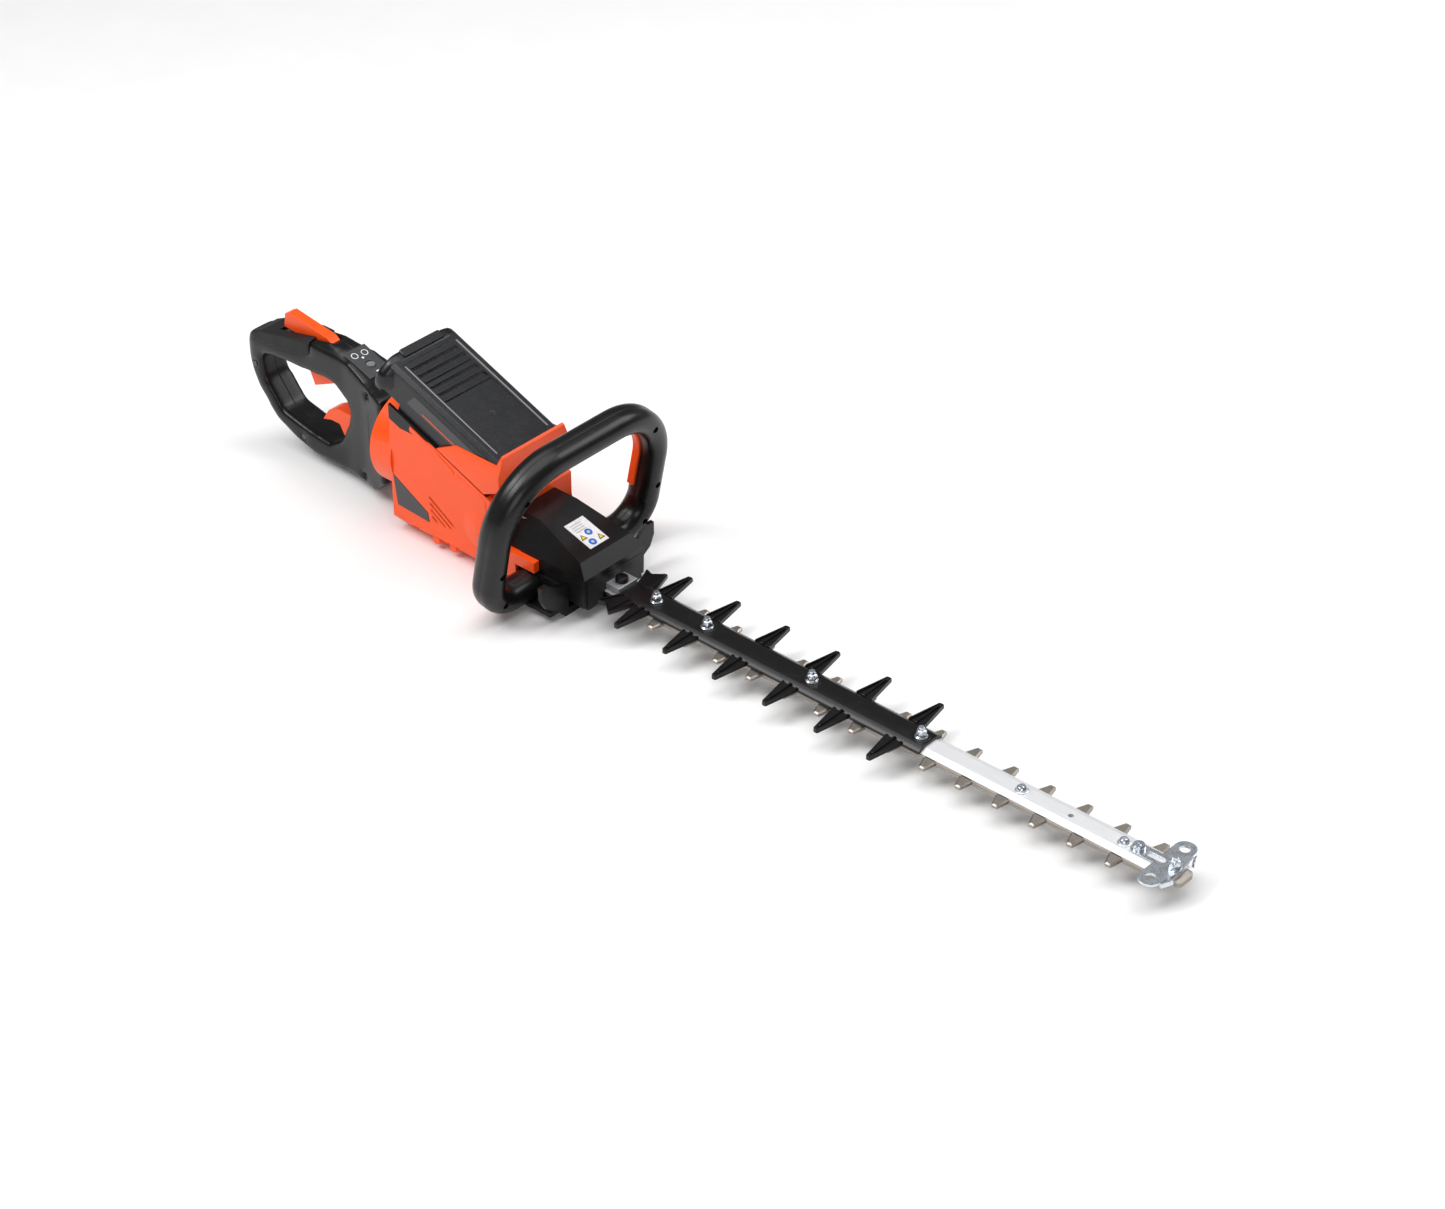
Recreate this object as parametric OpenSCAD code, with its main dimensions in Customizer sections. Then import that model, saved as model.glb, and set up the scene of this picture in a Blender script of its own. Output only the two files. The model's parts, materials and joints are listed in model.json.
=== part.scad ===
// Battery hedge trimmer with a swivelling rear handle, a loop front handle,
// a two-blade cutter under a guide bar, a debris sweeper and a tip guard.
// +X points to the blade tip, +Y to the tool's left, +Z up.
// Every shape is drawn from the first sweeper nut (x = 0) and the height datum of the
// guide bar (z = 0), then stand() sets the tool on its base, centred along its length.

/* [Cutter] */
// Distance between neighbouring teeth on one side of a blade
tooth_pitch = 35; // [30:0.5:40]
// Number of teeth on each side of a blade
tooth_count = 14; // [12:1:15]
// Half of the width over the tooth tips
tooth_reach = 24.5; // [22:0.1:29]
// Thickness of each blade
blade_t = 2; // [1.6:0.1:2.3]
// Eccentricity of each crank cam, half of a blade's stroke
cam_throw = 8.75; // [7:0.05:9.5]
// Running gap between a blade and its neighbour
blade_gap = 0.1; // [0.05:0.01:0.2]
// Width of the guide bar at its foot
bar_w = 24; // [20:0.5:27]
// Thickness of the guide bar
bar_t = 3.2; // [2.6:0.1:4]

/* [Sweeper and tip guard] */
// Reach of a sweeper spine from the middle of the bar
spine_reach = 45.7; // [40:0.1:52]
// Number of spine pairs
spine_count = 6; // [5:1:6]
// Reach of the tip guard's ears from the middle of the bar
ear_reach = 31; // [29:0.5:36]

/* [Body] */
// Half of the width of the orange housing
body_hw = 42; // [41:0.5:48]
// Height of the guide bar datum above the surface the tool lies on
datum_height = 24; // [23:0.5:28]
// Wall thickness of the plastic shells
wall = 3; // [2.4:0.1:3.4]
// Radius of the round joint between the body and the rear handle
swivel_r = 44; // [42:0.5:46]
// Running clearance of the swivel and of the levers' pins
run_gap = 0.3; // [0.2:0.05:0.4]

/* [Battery] */
// Length of the battery pack
battery_l = 136; // [125:1:138]
// Width of the battery pack
battery_w = 76; // [68:0.5:77]
// Thickness of the battery pack
battery_t = 46; // [42:0.5:46.5]
// Slope of the battery bay
battery_tilt = 21.5; // [20:0.5:22]
// Clearance around the battery in its bay
battery_gap = 0.5; // [0.3:0.1:0.8]

/* [Front handle] */
// Half of the width between the middles of the loop's legs
loop_hw = 92; // [86:0.5:98]
// Height of the middle of the loop's top bar above the datum
loop_top = 119; // [110:0.5:128]
// Thickness of the loop tube seen from the front
tube_w = 22; // [19:0.5:25]
// Depth of the loop tube, fore and aft
tube_d = 28; // [25:0.5:32]
// Forward lean of the loop
loop_lean = 11.5; // [8:0.5:14]

/* [Rear handle] */
// Width of the rear grip
grip_w = 32; // [29:0.5:36]
// Furthest point of the rear handle, behind the first sweeper nut
handle_rear = 472; // [466:1:480]
// Width of the trigger
trigger_w = 16; // [13:0.5:18]

/* [Gears] */
// Tooth size of the gears, pitch diameter over number of teeth
gear_module = 1; // [0.95:0.01:1.02]
// Teeth on the motor's pinion
pinion_teeth = 9; // [9:1:10]
// Teeth on the drive gear
gear_teeth = 54; // [50:1:54]
// Thinning of each tooth flank for running clearance
gear_thinning = 0.12; // [0.08:0.01:0.2]

/* [Hidden] */
$fn = 64;
e = 0.01;
// levels of the cutter
bar_top = -2.2;
bar_foot = bar_top - bar_t;
upper_top = bar_foot - blade_gap;
lower_top = upper_top - blade_t - blade_gap;
stack_foot = lower_top - blade_t - blade_gap;
// places along the cutter
nut_x = [0, 55, 165, 275];
screw_x = [372, 467];
peg_hole_x = 418;
tip_screw_x = 480;
tip_nut_x = 512;
blade_tip_x = 524;
bar_end_x = 518;
first_tooth_x = 15;
side_lag = 19;
spine_pitch = 1.5 * tooth_pitch;
first_spine_x = -3;
bolt_r = 2.5;
collar_r = 3.5;
slot_hw = collar_r + 0.3;
slot_half = collar_r + cam_throw + 0.4;
tip_hw = 9.5;
neck_hw = 10.5;
strip_hw = 12.8;
sweeper_top = bar_top + 2.4;
sweeper_rear = -30;
sweeper_front = 284;
sweeper_hw = bar_w / 2 + 2.5;
bracket_x = [-38];
// drive
gear_r = gear_module * gear_teeth / 2;
pinion_r = gear_module * pinion_teeth / 2;
crank_x = -97;
motor_x = crank_x - gear_r - pinion_r;
cam_r = 12;
crank_r = 4;
shaft_r = 2.5;
motor_r = 24;
motor_foot = 10.2;
motor_head = 38;
yoke_hl = cam_throw + cam_r + cam_throw + 0.5;
yoke_hw = cam_throw + cam_r + 0.5;
yoke_rim = 4.5;
gear_h = 6;
case_hw = max(yoke_hw + yoke_rim, gear_r + gear_module) + 1 + wall;
case_rear = crank_x - yoke_hl - yoke_rim - cam_throw - 1 - wall;
case_front = -46;
case_foot = -11;
case_head = 10;
plate_t = 3;
case_corner = 11;
case_boss_in = yoke_hw + yoke_rim + 0.75;
case_bolt_at = [for (x = [case_rear + 9.25, case_front - 8], s = [1, -1]) [x, s * (case_boss_in + 1)]];
// body
base_z = -datum_height;
swivel_z = 44;
swivel_x = -285;
body_rear = -262;
body_front = -97;
// flat shelf of the housing that the front cover stands on
shelf_z = 14;
cover_rear = -133.5;
strap_hw = body_hw;
cover_hw = case_hw + 0.5 + wall;
boss_x = [-240, -200, -160];
guard_x = -68;
guard_t = 4;
guard_foot = -14;
// battery frame: origin at the rear end of the top face
battery_x = -266;
battery_z = 139.7;
pack_step = 28;
pack_rear_t = 30;
cradle_t = 2.5;
latch_hw = 20;
cell_hl = battery_w / 2 - 5.5;
cell_pitch = (battery_l - 44) / 5;
cell_r = min((battery_t - 9.6) / 4, cell_pitch / 2 - 0.1);
groove_at = [22, 31, 46, 55];
// front loop, drawn in its own leaning plane
loop_foot_z = -8;
loop_foot_x = -104;
loop_rise = (loop_top - loop_foot_z) / cos(loop_lean);
top_bend = 58;
low_bend = 28;
loop_in = 40;
leg_length = loop_rise - top_bend - low_bend;
low_centre_x = loop_hw - low_bend;
switch_leg = 34;
handle_screw_at = [[loop_hw - 17, loop_rise - 17], [loop_hw, 44], [low_centre_x + 19, 8]];
// rear handle
grip_hw = grip_w / 2;
pin_r = 2;
trigger_pin_at = [-364, 79];
lockout_pin_at = [-376, 94];
release_pin_at = [-347, 18];
button_x = -326;
lever_hw = 5;
// whole tool
rear_x = -handle_rear;
handle_screw_xz = [[rear_x + 12, 48], [rear_x + 70, -3], [-322, -8], [-310, 78]];
shift_x = -(rear_x + blade_tip_x) / 2;

// ---- helpers ----

// sets the whole tool on its base, centred along its length
module stand() {
    translate([shift_x, 0, datum_height]) children();
}

// stands a side outline (x, z) up and gives it a width between two y values
module side_slab(points, y0, y1) {
    translate([0, y1, 0]) rotate([90, 0, 0]) linear_extrude(y1 - y0) polygon(points);
}

// stands a front outline (y, z) up and gives it a length between two x values
module front_slab(points, x0, x1) {
    translate([x0, 0, 0]) rotate([90, 0, 90]) linear_extrude(x1 - x0) polygon(points);
}

// box between two corners
module span(a, b) {
    translate(a) cube(b - a);
}

// round bar along Y
module cross_bar(at, r, y0, y1) {
    translate([at[0], y1, at[1]]) rotate([90, 0, 0]) cylinder(r = r, h = y1 - y0);
}

// round bar along X
module long_bar(r, x0, x1, z) {
    translate([x0, 0, z]) rotate([0, 90, 0]) cylinder(r = r, h = x1 - x0);
}

module battery_frame() {
    translate([battery_x, 0, battery_z]) rotate([0, battery_tilt, 0]) children();
}

// frame of the front loop: x along the tool's width, y up the lean, z fore
module loop_frame() {
    translate([loop_foot_x, 0, loop_foot_z]) rotate([0, loop_lean, 0]) rotate([90, 0, 90]) children();
}

// rounded slot in plan, along X
module slot_2d(half, r) {
    square([2 * (half - r), 2 * r], center = true);
    for (s = [-1, 1]) translate([s * (half - r), 0]) circle(r);
}

// ---- housing ----

function body_side(w) = [
    [body_rear + w, -16 + w], [body_rear + 8 + w, base_z + w], [-130, base_z + w],
    [body_front - w, -10 + w], [body_front - w, shelf_z - w], [cover_rear - 0.3 - w, shelf_z - w],
    [cover_rear - 0.3 - w, 47.7 - w], [-152, 56 - w],
    [body_rear + w, 99.3 - w]
];

function body_front_view(w) = [
    [-30 + w, base_z + w], [30 - w, base_z + w], [body_hw - w, -10 + w],
    [body_hw - w, 60], [body_hw - 2 - w, 101], [-body_hw + 2 + w, 101],
    [-body_hw + w, 60], [-body_hw + w, -10 + w]
];

module body_block(w) {
    intersection() {
        side_slab(body_side(w), -body_hw, body_hw);
        front_slab(body_front_view(w), body_rear - 1, body_front + 1);
    }
}

// space that the battery takes and slides out through, grown by a gap
module battery_space(gap) {
    battery_frame() span([-60, -battery_w / 2 - gap, -battery_t - gap],
        [battery_l + gap, battery_w / 2 + gap, 30]);
}

module cradle_space() {
    battery_space(battery_gap + cradle_t);
}

// room that the front handle's foot bars and the gear case need
module front_room(gap) {
    span([loop_foot_x - tube_d / 2 - gap, -body_hw - 1, base_z - 1],
         [body_front + 1, body_hw + 1, loop_foot_z + tube_w / 2 + 1 + gap]);
    span([case_rear - gap, -case_hw - gap, base_z - 1], [body_front + 1, case_hw + gap, case_head + gap]);
    span([-118, -cover_hw - gap, base_z], [body_front + 1, cover_hw + gap, 60]);
}

// the vent slits shorten towards the tool's underside
function vent_length(k) = 33 - 3 * k - 1.9 * k * k;

module housing() {
    difference() {
        union() {
            body_block(0);
            long_bar(swivel_r, swivel_x, body_rear + 2, swivel_z);
        }
        difference() {
            body_block(wall);
            for (x = boss_x) cross_bar([x, -14], 5, -body_hw, body_hw);
        }
        for (x = boss_x) {
            cross_bar([x, -14], 1.6, -24, 24);
            cross_bar([x, -14], 3, -body_hw, -24);
        }
        long_bar(swivel_r - 6 + run_gap, swivel_x - 1, swivel_x + 5, swivel_z);
        long_bar(swivel_r - 3 + run_gap, swivel_x + 5, swivel_x + 11, swivel_z);
        long_bar(swivel_r - 12, swivel_x + 11, body_rear + wall + 1, swivel_z);
        cradle_space();
        translate([motor_x, 0, -20]) cylinder(r = motor_r + 0.5, h = motor_head + 20.5);
        front_room(0.3);
        battery_space(battery_gap);
        for (s = [-1, 1], k = [0:3])
            translate([-218 + 0.8 * k, s * (body_hw - 1) - 3, 26.3 - 6.1 * k]) rotate([0, 32, 0])
                cube([vent_length(k), 6, 2]);
        badge_pair(0.1);
    }
}

module housing_half(side) {
    color("orangered") stand() intersection() {
        housing();
        span([-400, side > 0 ? 0 : -100, -60], [0, side > 0 ? 100 : 0, 200]);
    }
}
module housing_right() housing_half(-1);
module housing_left() housing_half(1);

module housing_screws() {
    color("dimgray") stand() for (x = boss_x) {
        cross_bar([x, -14], 1.5, -24 - 2, 20);
        cross_bar([x, -14], 2.8, -30, -26);
    }
}

module badge_pair(grow) {
    for (s = [-1, 1])
        side_slab([[-260 - grow, 32.5 + grow], [-219.6 + grow, 10.4 + grow], [-218.2 + grow, 1.3 - grow],
                   [-256 - grow, 3.3 - grow]],
                  s > 0 ? body_hw - 0.9 : -body_hw - 0.4, s > 0 ? body_hw + 0.4 : -body_hw + 0.9);
}
module badges() {
    color("dimgray") stand() badge_pair(0);
}

// orange band over the front of the battery
strap_side = [
    [-206, 79.1], [-195, 74.7], [-152, 57.7], [-134, 66], [-134, 96], [-139, 101.5], [-163, 100.5],
        [-180, 92]
];
module battery_strap() {
    color("orangered") stand() difference() {
        intersection() {
            side_slab(strap_side, -strap_hw, strap_hw);
            front_slab([[-strap_hw, 40], [strap_hw, 40], [strap_hw, 80], [strap_hw - 8, 102],
                [8 - strap_hw, 102],
                        [-strap_hw, 80]], -220, -120);
        }
        battery_space(battery_gap);
        battery_frame() span([0, -battery_w / 2 - battery_gap, -60],
                             [battery_l + battery_gap, battery_w / 2 + battery_gap, 0.6]);
    }
}

// black tray that carries the battery
module battery_cradle() {
    color([0.1, 0.1, 0.11]) stand() difference() {
        intersection() {
            cradle_space();
            union() {
                side_slab(body_side(0), -body_hw + 0.5, body_hw - 0.5);
                side_slab([[-160, 53], [-134, 42], [-134.5, 65], [-152, 57], [-170, 63]],
                    -battery_w / 2 - 2, battery_w / 2 + 2);
            }
        }
        battery_space(battery_gap);
        terminal_room(0);
    }
}

// contact block at the front of the bay, under the battery's front end
module terminal_room(grow) {
    battery_frame() span([battery_l - 40, -16 - grow, -battery_t - battery_gap - cradle_t - 8],
                         [battery_l - 18, 16 + grow, -battery_t - battery_gap]);
}
module terminal_block() {
    color([0.15, 0.15, 0.16]) stand() terminal_room(0);
}

// ---- motor and electronics ----

module motor_can() {
    color("silver") stand() translate([motor_x, 0, motor_foot]) difference() {
        cylinder(r = motor_r, h = motor_head - motor_foot);
        translate([0, 0, 2]) cylinder(r = motor_r - 1.5, h = motor_head - motor_foot - 4);
        translate([0, 0, -1]) cylinder(r = 6, h = 60);
    }
}

module motor_stator() {
    color("peru") stand() translate([motor_x, 0, motor_foot + 5]) difference() {
        cylinder(r = motor_r - 1.5, h = 18);
        translate([0, 0, -1]) cylinder(r = 13.5, h = 20);
        for (k = [0:11]) rotate([0, 0, 30 * k]) translate([17, 0, -1]) cylinder(r = 2, h = 20, $fn = 24);
    }
}

module bearing(outer, bore, h) {
    difference() {
        cylinder(r = outer, h = h);
        translate([0, 0, -1]) cylinder(r = bore, h = h + 2);
    }
}

module motor_bearings() {
    color("gainsboro") stand() for (z = [motor_foot, motor_head - 3])
        translate([motor_x, 0, z]) bearing(6, shaft_r + 0.05, 3);
}

module motor_rotor() {
    color("dimgray") stand() translate([motor_x, 0, motor_foot + 5]) difference() {
        cylinder(r = 13, h = 18);
        translate([0, 0, -1]) cylinder(r = shaft_r, h = 20);
    }
}

module motor_shaft() {
    color("silver") stand() translate([motor_x, 0, -1]) cylinder(r = shaft_r, h = motor_head + 1);
}

module controller_board() {
    color("darkgreen") stand() {
        span([-245, -32, 12], [-172, 32, 14]);
        for (k = [0:2]) translate([-232 + 22 * k, 18, 14]) cylinder(r = 5, h = 16);
        span([-238, -24, 14], [-180, -6, 24]);
        span([-240, -28, 4], [-176, 28, 12]);
    }
}

module wiring() {
    color("firebrick") stand() {
        for (y = [-8, 0, 8]) translate([-172, y, 13]) rotate([0, 90, 0])
            cylinder(r = 1.3, h = motor_x + 171.5 - sqrt(motor_r * motor_r - y * y), $fn = 24);
        for (y = [-10, 10]) translate([-180, y, 24]) cylinder(r = 1.6, h = 16, $fn = 24);
    }
}

// ---- gears ----

function roll(r0, r) = sqrt(pow(r / r0, 2) - 1) * 180 / PI;
function involute(r0, r) = roll(r0, r) - atan(sqrt(pow(r / r0, 2) - 1));

// spur gear outline with involute flanks, a tooth centred on the +X axis
module gear_2d(teeth) {
    pitch_r = gear_module * teeth / 2;
    base_r = pitch_r * cos(20);
    tip_r = pitch_r + 0.9 * gear_module;
    root_r = pitch_r - 1.2 * gear_module;
    half = 90 / teeth - gear_thinning / pitch_r * 90 / PI + involute(base_r, pitch_r);
    start = max(base_r, root_r + 0.05);
    steps = 3;
    flank = [for (k = [0:steps]) let (r = start + (tip_r - start) * k / steps) [r,
        half - involute(base_r, r)]];
    tooth = concat([[root_r, half - involute(base_r, start) + 0.1]], flank);
    polygon([for (t = [0:teeth - 1]) let (a = 360 * t / teeth) each concat(
        [for (p = tooth) [p[0] * cos(a - p[1]), p[0] * sin(a - p[1])]],
        [for (k = [len(tooth) - 1:-1:0]) let (p = tooth[k]) [p[0] * cos(a + p[1]),
            p[0] * sin(a + p[1])]])]);
}

module pinion() {
    color("silver") stand() translate([motor_x, 0, 0]) difference() {
        // turned so that a gap faces the drive gear's tooth
        linear_extrude(gear_h) rotate(180 / pinion_teeth) gear_2d(pinion_teeth);
        translate([0, 0, -1]) cylinder(r = shaft_r, h = gear_h + 2);
    }
}

module drive_gear() {
    color("silver") stand() translate([crank_x, 0, 0]) difference() {
        linear_extrude(gear_h) rotate(180) gear_2d(gear_teeth);
        translate([0, 0, -1]) cylinder(r = crank_r, h = gear_h + 2);
        for (k = [0:5]) rotate([0, 0, 60 * k + 30]) translate([gear_r * 0.6, 0, -1])
            cylinder(r = gear_r * 0.17, h = gear_h + 2);
    }
}

module crank_shaft() {
    color("gray") stand() translate([crank_x, 0, 0]) {
        translate([0, 0, case_foot - plate_t + 0.2])
            cylinder(r = crank_r, h = case_head - case_foot + plate_t - 0.4);
        translate([cam_throw, 0, lower_top + blade_gap / 2]) cylinder(r = cam_r, h = blade_t);
        translate([-cam_throw, 0, lower_top + blade_gap / 2 - blade_t]) cylinder(r = cam_r, h = blade_t);
        translate([0, 0, upper_top]) cylinder(r = 7, h = -upper_top);
    }
}

module crank_bearings() {
    color("gainsboro") stand() translate([crank_x, 0, 0]) {
        translate([0, 0, case_head - 3]) bearing(8, crank_r + 0.05, 3);
        translate([0, 0, case_foot - plate_t]) bearing(8, crank_r + 0.05, plate_t);
    }
}

// ---- gear case ----

module case_plan(grow, front) {
    difference() {
        translate([case_rear - grow, -case_hw - grow])
            square([front - case_rear + grow, 2 * (case_hw + grow)]);
        for (s = [-1, 1]) translate([case_rear - grow, s * (case_hw + grow)]) rotate(45)
            square(case_corner, center = true);
    }
}

module gear_case() {
    color("silver") stand() difference() {
        translate([0, 0, case_foot]) linear_extrude(case_head - case_foot) case_plan(0, case_front);
        translate([0, 0, case_foot - 1]) linear_extrude(case_head - case_foot + 1 - 3) difference() {
            case_plan(-wall, case_front - wall - 3);
            for (p = case_bolt_at)
                translate([p[0] - 3, p[1] > 0 ? case_boss_in : -case_boss_in - 20]) square([6, 20]);
        }
        // way out for the blades and the seat of the guide bar
        span([case_front - 10, -bar_w / 2 - 2, case_foot - 1], [case_front + 1, bar_w / 2 + 2, bar_foot]);
        bar_body(0.05);
        translate([crank_x, 0, case_head - 3]) cylinder(r = 8, h = 4);
        translate([motor_x, 0, 0]) cylinder(r = 6, h = 20);
        for (p = case_bolt_at) translate([p[0], p[1], case_foot - 1]) cylinder(r = 1.6, h = 12);
    }
}

module bottom_plate() {
    color("silver") stand() difference() {
        translate([0, 0, case_foot - plate_t]) linear_extrude(plate_t) case_plan(0, case_front);
        translate([crank_x, 0, case_foot - plate_t - 1]) cylinder(r = 8, h = plate_t + 2);
        for (p = case_bolt_at) translate([p[0], p[1], case_foot - plate_t - 1])
            cylinder(r = 1.8, h = plate_t + 2);
    }
}

module cover_screws() {
    color("dimgray") stand() for (p = case_bolt_at) translate([p[0], p[1], 0]) {
        translate([0, 0, case_foot - plate_t]) cylinder(r = 1.5, h = plate_t + 9);
        translate([0, 0, case_foot - plate_t - 2.5]) cylinder(r = 3.4, h = 2.5);
    }
}

// ---- front cover and hand guard ----

cover_front_points = [
    [-cover_hw, case_foot], [cover_hw, case_foot], [cover_hw, 16], [20, 45], [-20, 45], [-cover_hw, 16]
];

module front_cover() {
    color([0.1, 0.1, 0.11]) stand() difference() {
        intersection() {
            side_slab([[-117.5, case_foot], [-47, case_foot], [-46, 16], [-56, 26.5], [-108, 42],
                [cover_rear, 42],
                       [cover_rear, shelf_z + 0.3], [-117.5, shelf_z + 0.3]], -cover_hw, cover_hw);
            front_slab(cover_front_points, cover_rear - 1, -45);
        }
        intersection() {
            side_slab([[-119, case_foot - 1], [-46 - wall, case_foot - 1], [-46 - wall, 15],
                [-57, 26.5 - wall],
                       [-108, 42 - wall], [cover_rear + wall, 42 - wall], [cover_rear + wall, shelf_z],
                       [-119, shelf_z]], -cover_hw + wall, cover_hw - wall);
            front_slab([[-cover_hw + wall, case_foot - 1], [cover_hw - wall, case_foot - 1],
                [cover_hw - wall, 15],
                        [19, 45 - wall], [-19, 45 - wall], [-cover_hw + wall, 15]], cover_rear - 1, -44);
        }
        // room for the gear case, the bar and its bracket
        translate([0, 0, case_foot - 1]) linear_extrude(case_head - case_foot + 1.3)
            case_plan(0.3, case_front + 5);
        translate([motor_x, 0, 0]) cylinder(r = motor_r + 0.5, h = motor_head + 0.5);
        foot_bars(0.3);
        label_slab(0.1);
    }
}

module label_slab(grow) {
    translate([-108, 0, 42]) rotate([0, atan2(15.5, 52), 0])
        span([17 - grow, -11 - grow, -0.6], [48 + grow, 11 + grow, 0.3]);
}
module cover_label() {
    color("white") stand() label_slab(0);
}

guard_points = [
    [-67, 4], [-62, -6], [-50, guard_foot], [-40, base_z], [40, base_z], [50, guard_foot], [62, -6],
        [67, 4],
    [67, 16], [60, 16], [48, 8], [cover_hw + 0.4, 6], [cover_hw + 0.4, case_foot - plate_t - 3],
    [-cover_hw - 0.4, case_foot - plate_t - 3], [-cover_hw - 0.4, 6], [-48, 8], [-60, 16], [-67, 16]
];
module hand_guard() {
    color([0.1, 0.1, 0.11]) stand() difference() {
        union() {
            front_slab(guard_points, guard_x, guard_x + guard_t);
            for (s = [-1, 1]) span([-100, s > 0 ? cover_hw + 0.4 : -54, -20],
                [guard_x + e, s > 0 ? 54 : -cover_hw - 0.4, -16]);
            span([-108, -cover_hw - 2, base_z], [guard_x + e, cover_hw + 2, base_z + 3]);
            for (s = [-1, 1]) span([-108, s > 0 ? cover_hw + 0.4 : -cover_hw - 4, base_z],
                                   [guard_x + e, s > 0 ? cover_hw + 4 : -cover_hw - 0.4, 3]);
        }
        foot_bars(0.05);
    }
}

// ---- front handle ----

// section of the loop tube: a stadium, short across, long fore and aft
module tube_section(grow, half) {
    r = tube_w / 2 + grow;
    d = (tube_d - tube_w) / 2;
    intersection() {
        union() {
            for (s = [-1, 1]) translate([0, s * d]) circle(r);
            square([2 * r, 2 * d], center = true);
        }
        if (half != 0) translate([-r - 1, half > 0 ? 0 : -r - d - 1]) square([2 * r + 2, r + d + 1]);
    }
}

// straight run of tube from a point, at an angle in the loop's plane
module run(from, angle, length, grow, half) {
    translate([from[0], from[1], 0]) rotate([0, 0, angle]) rotate([90, 0, 90]) linear_extrude(length)
        tube_section(grow, half);
}

module bend(centre, radius, start, sweep, grow, half) {
    translate([centre[0], centre[1], 0]) rotate([0, 0, start]) rotate_extrude(angle = sweep)
        translate([radius, 0]) tube_section(grow, half);
}

module loop_tube(grow, half) {
    loop_frame() {
        run([-(loop_hw - top_bend), loop_rise], 0, 2 * (loop_hw - top_bend), grow, half);
        for (s = [0, 1]) mirror([s, 0, 0]) {
            bend([loop_hw - top_bend, loop_rise - top_bend], top_bend, 0, 90, grow, half);
            run([loop_hw, low_bend], 90, leg_length, grow, half);
            bend([low_centre_x, low_bend], low_bend, 270, 90, grow, half);
            run([loop_in, 0], 0, low_centre_x - loop_in, grow, half);
        }
    }
}

// the two bars at the foot of the loop
module foot_bars(grow) {
    loop_frame() for (s = [0, 1]) mirror([s, 0, 0])
        run([loop_in - grow, 0], 0, low_centre_x - loop_in, grow, 0);
}

// strip along the inside of the loop, between two distances from the tube's middle
module switch_strip(r0, r1, z0, z1, short = 0) {
    loop_frame() {
        span([-(loop_hw - top_bend), loop_rise - r1, z0], [loop_hw - top_bend, loop_rise - r0, z1]);
        for (s = [0, 1]) mirror([s, 0, 0]) {
            translate([loop_hw - top_bend, loop_rise - top_bend, z0]) rotate_extrude(angle = 90)
                translate([top_bend - r1, 0]) square([r1 - r0, z1 - z0]);
            span([loop_hw - r1, loop_rise - top_bend - switch_leg + short, z0],
                [loop_hw - r0, loop_rise - top_bend, z1]);
        }
    }
}

module front_handle_front() {
    color([0.09, 0.09, 0.1]) stand() difference() {
        loop_tube(0, 1);
        loop_frame() for (s = [-1, 1], p = handle_screw_at)
            translate([s * p[0], p[1], 9]) cylinder(r = 3, h = 20);
    }
}

module front_handle_rear() {
    color([0.09, 0.09, 0.1]) stand() difference() {
        loop_tube(0, -1);
        switch_strip(tube_w / 2 - 6, tube_w / 2 + 4, -10.4, -2.4);
        front_switch_room(0.1);
    }
}

module front_handle_screws() {
    color("silver") stand() loop_frame() for (s = [-1, 1], p = handle_screw_at)
        translate([s * p[0], p[1], 9]) cylinder(r = 2.8, h = 2.2);
}

module switch_bar() {
    color("orangered") stand() switch_strip(tube_w / 2 - 2.5, tube_w / 2 + 2, -9.9, -2.9, 0.5);
}

module front_switch_room(grow) {
    loop_frame() span([-10 - grow, loop_rise - 5.5, -9 - grow], [10 + grow, loop_rise + 3, -3 + grow]);
}
module front_switch() {
    color([0.2, 0.2, 0.22]) stand() front_switch_room(0);
}

// ---- guide bar and what is bolted to it ----

module bar_body(grow) {
    w = bar_w / 2 + grow;
    front_slab([[-w, bar_foot], [w, bar_foot], [w, bar_foot + 1], [w - 5.5, bar_top + grow],
                [-w + 5.5, bar_top + grow], [-w, bar_foot + 1]], -57 - grow, bar_end_x);
}

module guide_bar() {
    color([0.82, 0.83, 0.86]) stand() difference() {
        bar_body(0);
        for (x = concat(nut_x, screw_x, [tip_nut_x, tip_screw_x], bracket_x))
            translate([x, 0, bar_foot - 1]) cylinder(r = bolt_r + 0.1, h = bar_t + 2);
        translate([peg_hole_x, 0, bar_foot - 1]) cylinder(r = 2.2, h = bar_t + 2);
    }
}

// bolt from below with its collar in the blades' slots
module stack_bolt(top) {
    translate([0, 0, stack_foot - 2.6]) cylinder(r = 5, h = 2.6);
    translate([0, 0, stack_foot]) cylinder(r = collar_r, h = bar_foot - stack_foot);
    translate([0, 0, bar_foot - e]) cylinder(r = bolt_r, h = top - bar_foot + e);
}

module bar_bolts() {
    color("silver") stand() {
        for (x = nut_x) translate([x, 0, 0]) stack_bolt(sweeper_top + 9);
        translate([tip_nut_x, 0, bar_foot]) cylinder(r = bolt_r, h = bar_t + 11);
    }
}

module bar_screws() {
    color("silver") stand() for (x = screw_x) translate([x, 0, 0]) {
        stack_bolt(bar_top);
        translate([0, 0, bar_top]) intersection() {
            cylinder(r = 4.6, h = 6);
            translate([0, 0, -1.2]) sphere(r = 5.4);
        }
    }
}

module flange_nut(bore) {
    difference() {
        union() {
            cylinder(r = 5.4, h = 1.4);
            cylinder(r = 4.6, h = 5.4, $fn = 6);
            translate([0, 0, 5.4]) cylinder(r1 = 4, r2 = 3.3, h = 1.2);
        }
        translate([0, 0, -1]) cylinder(r = bore, h = 10);
    }
}

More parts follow.
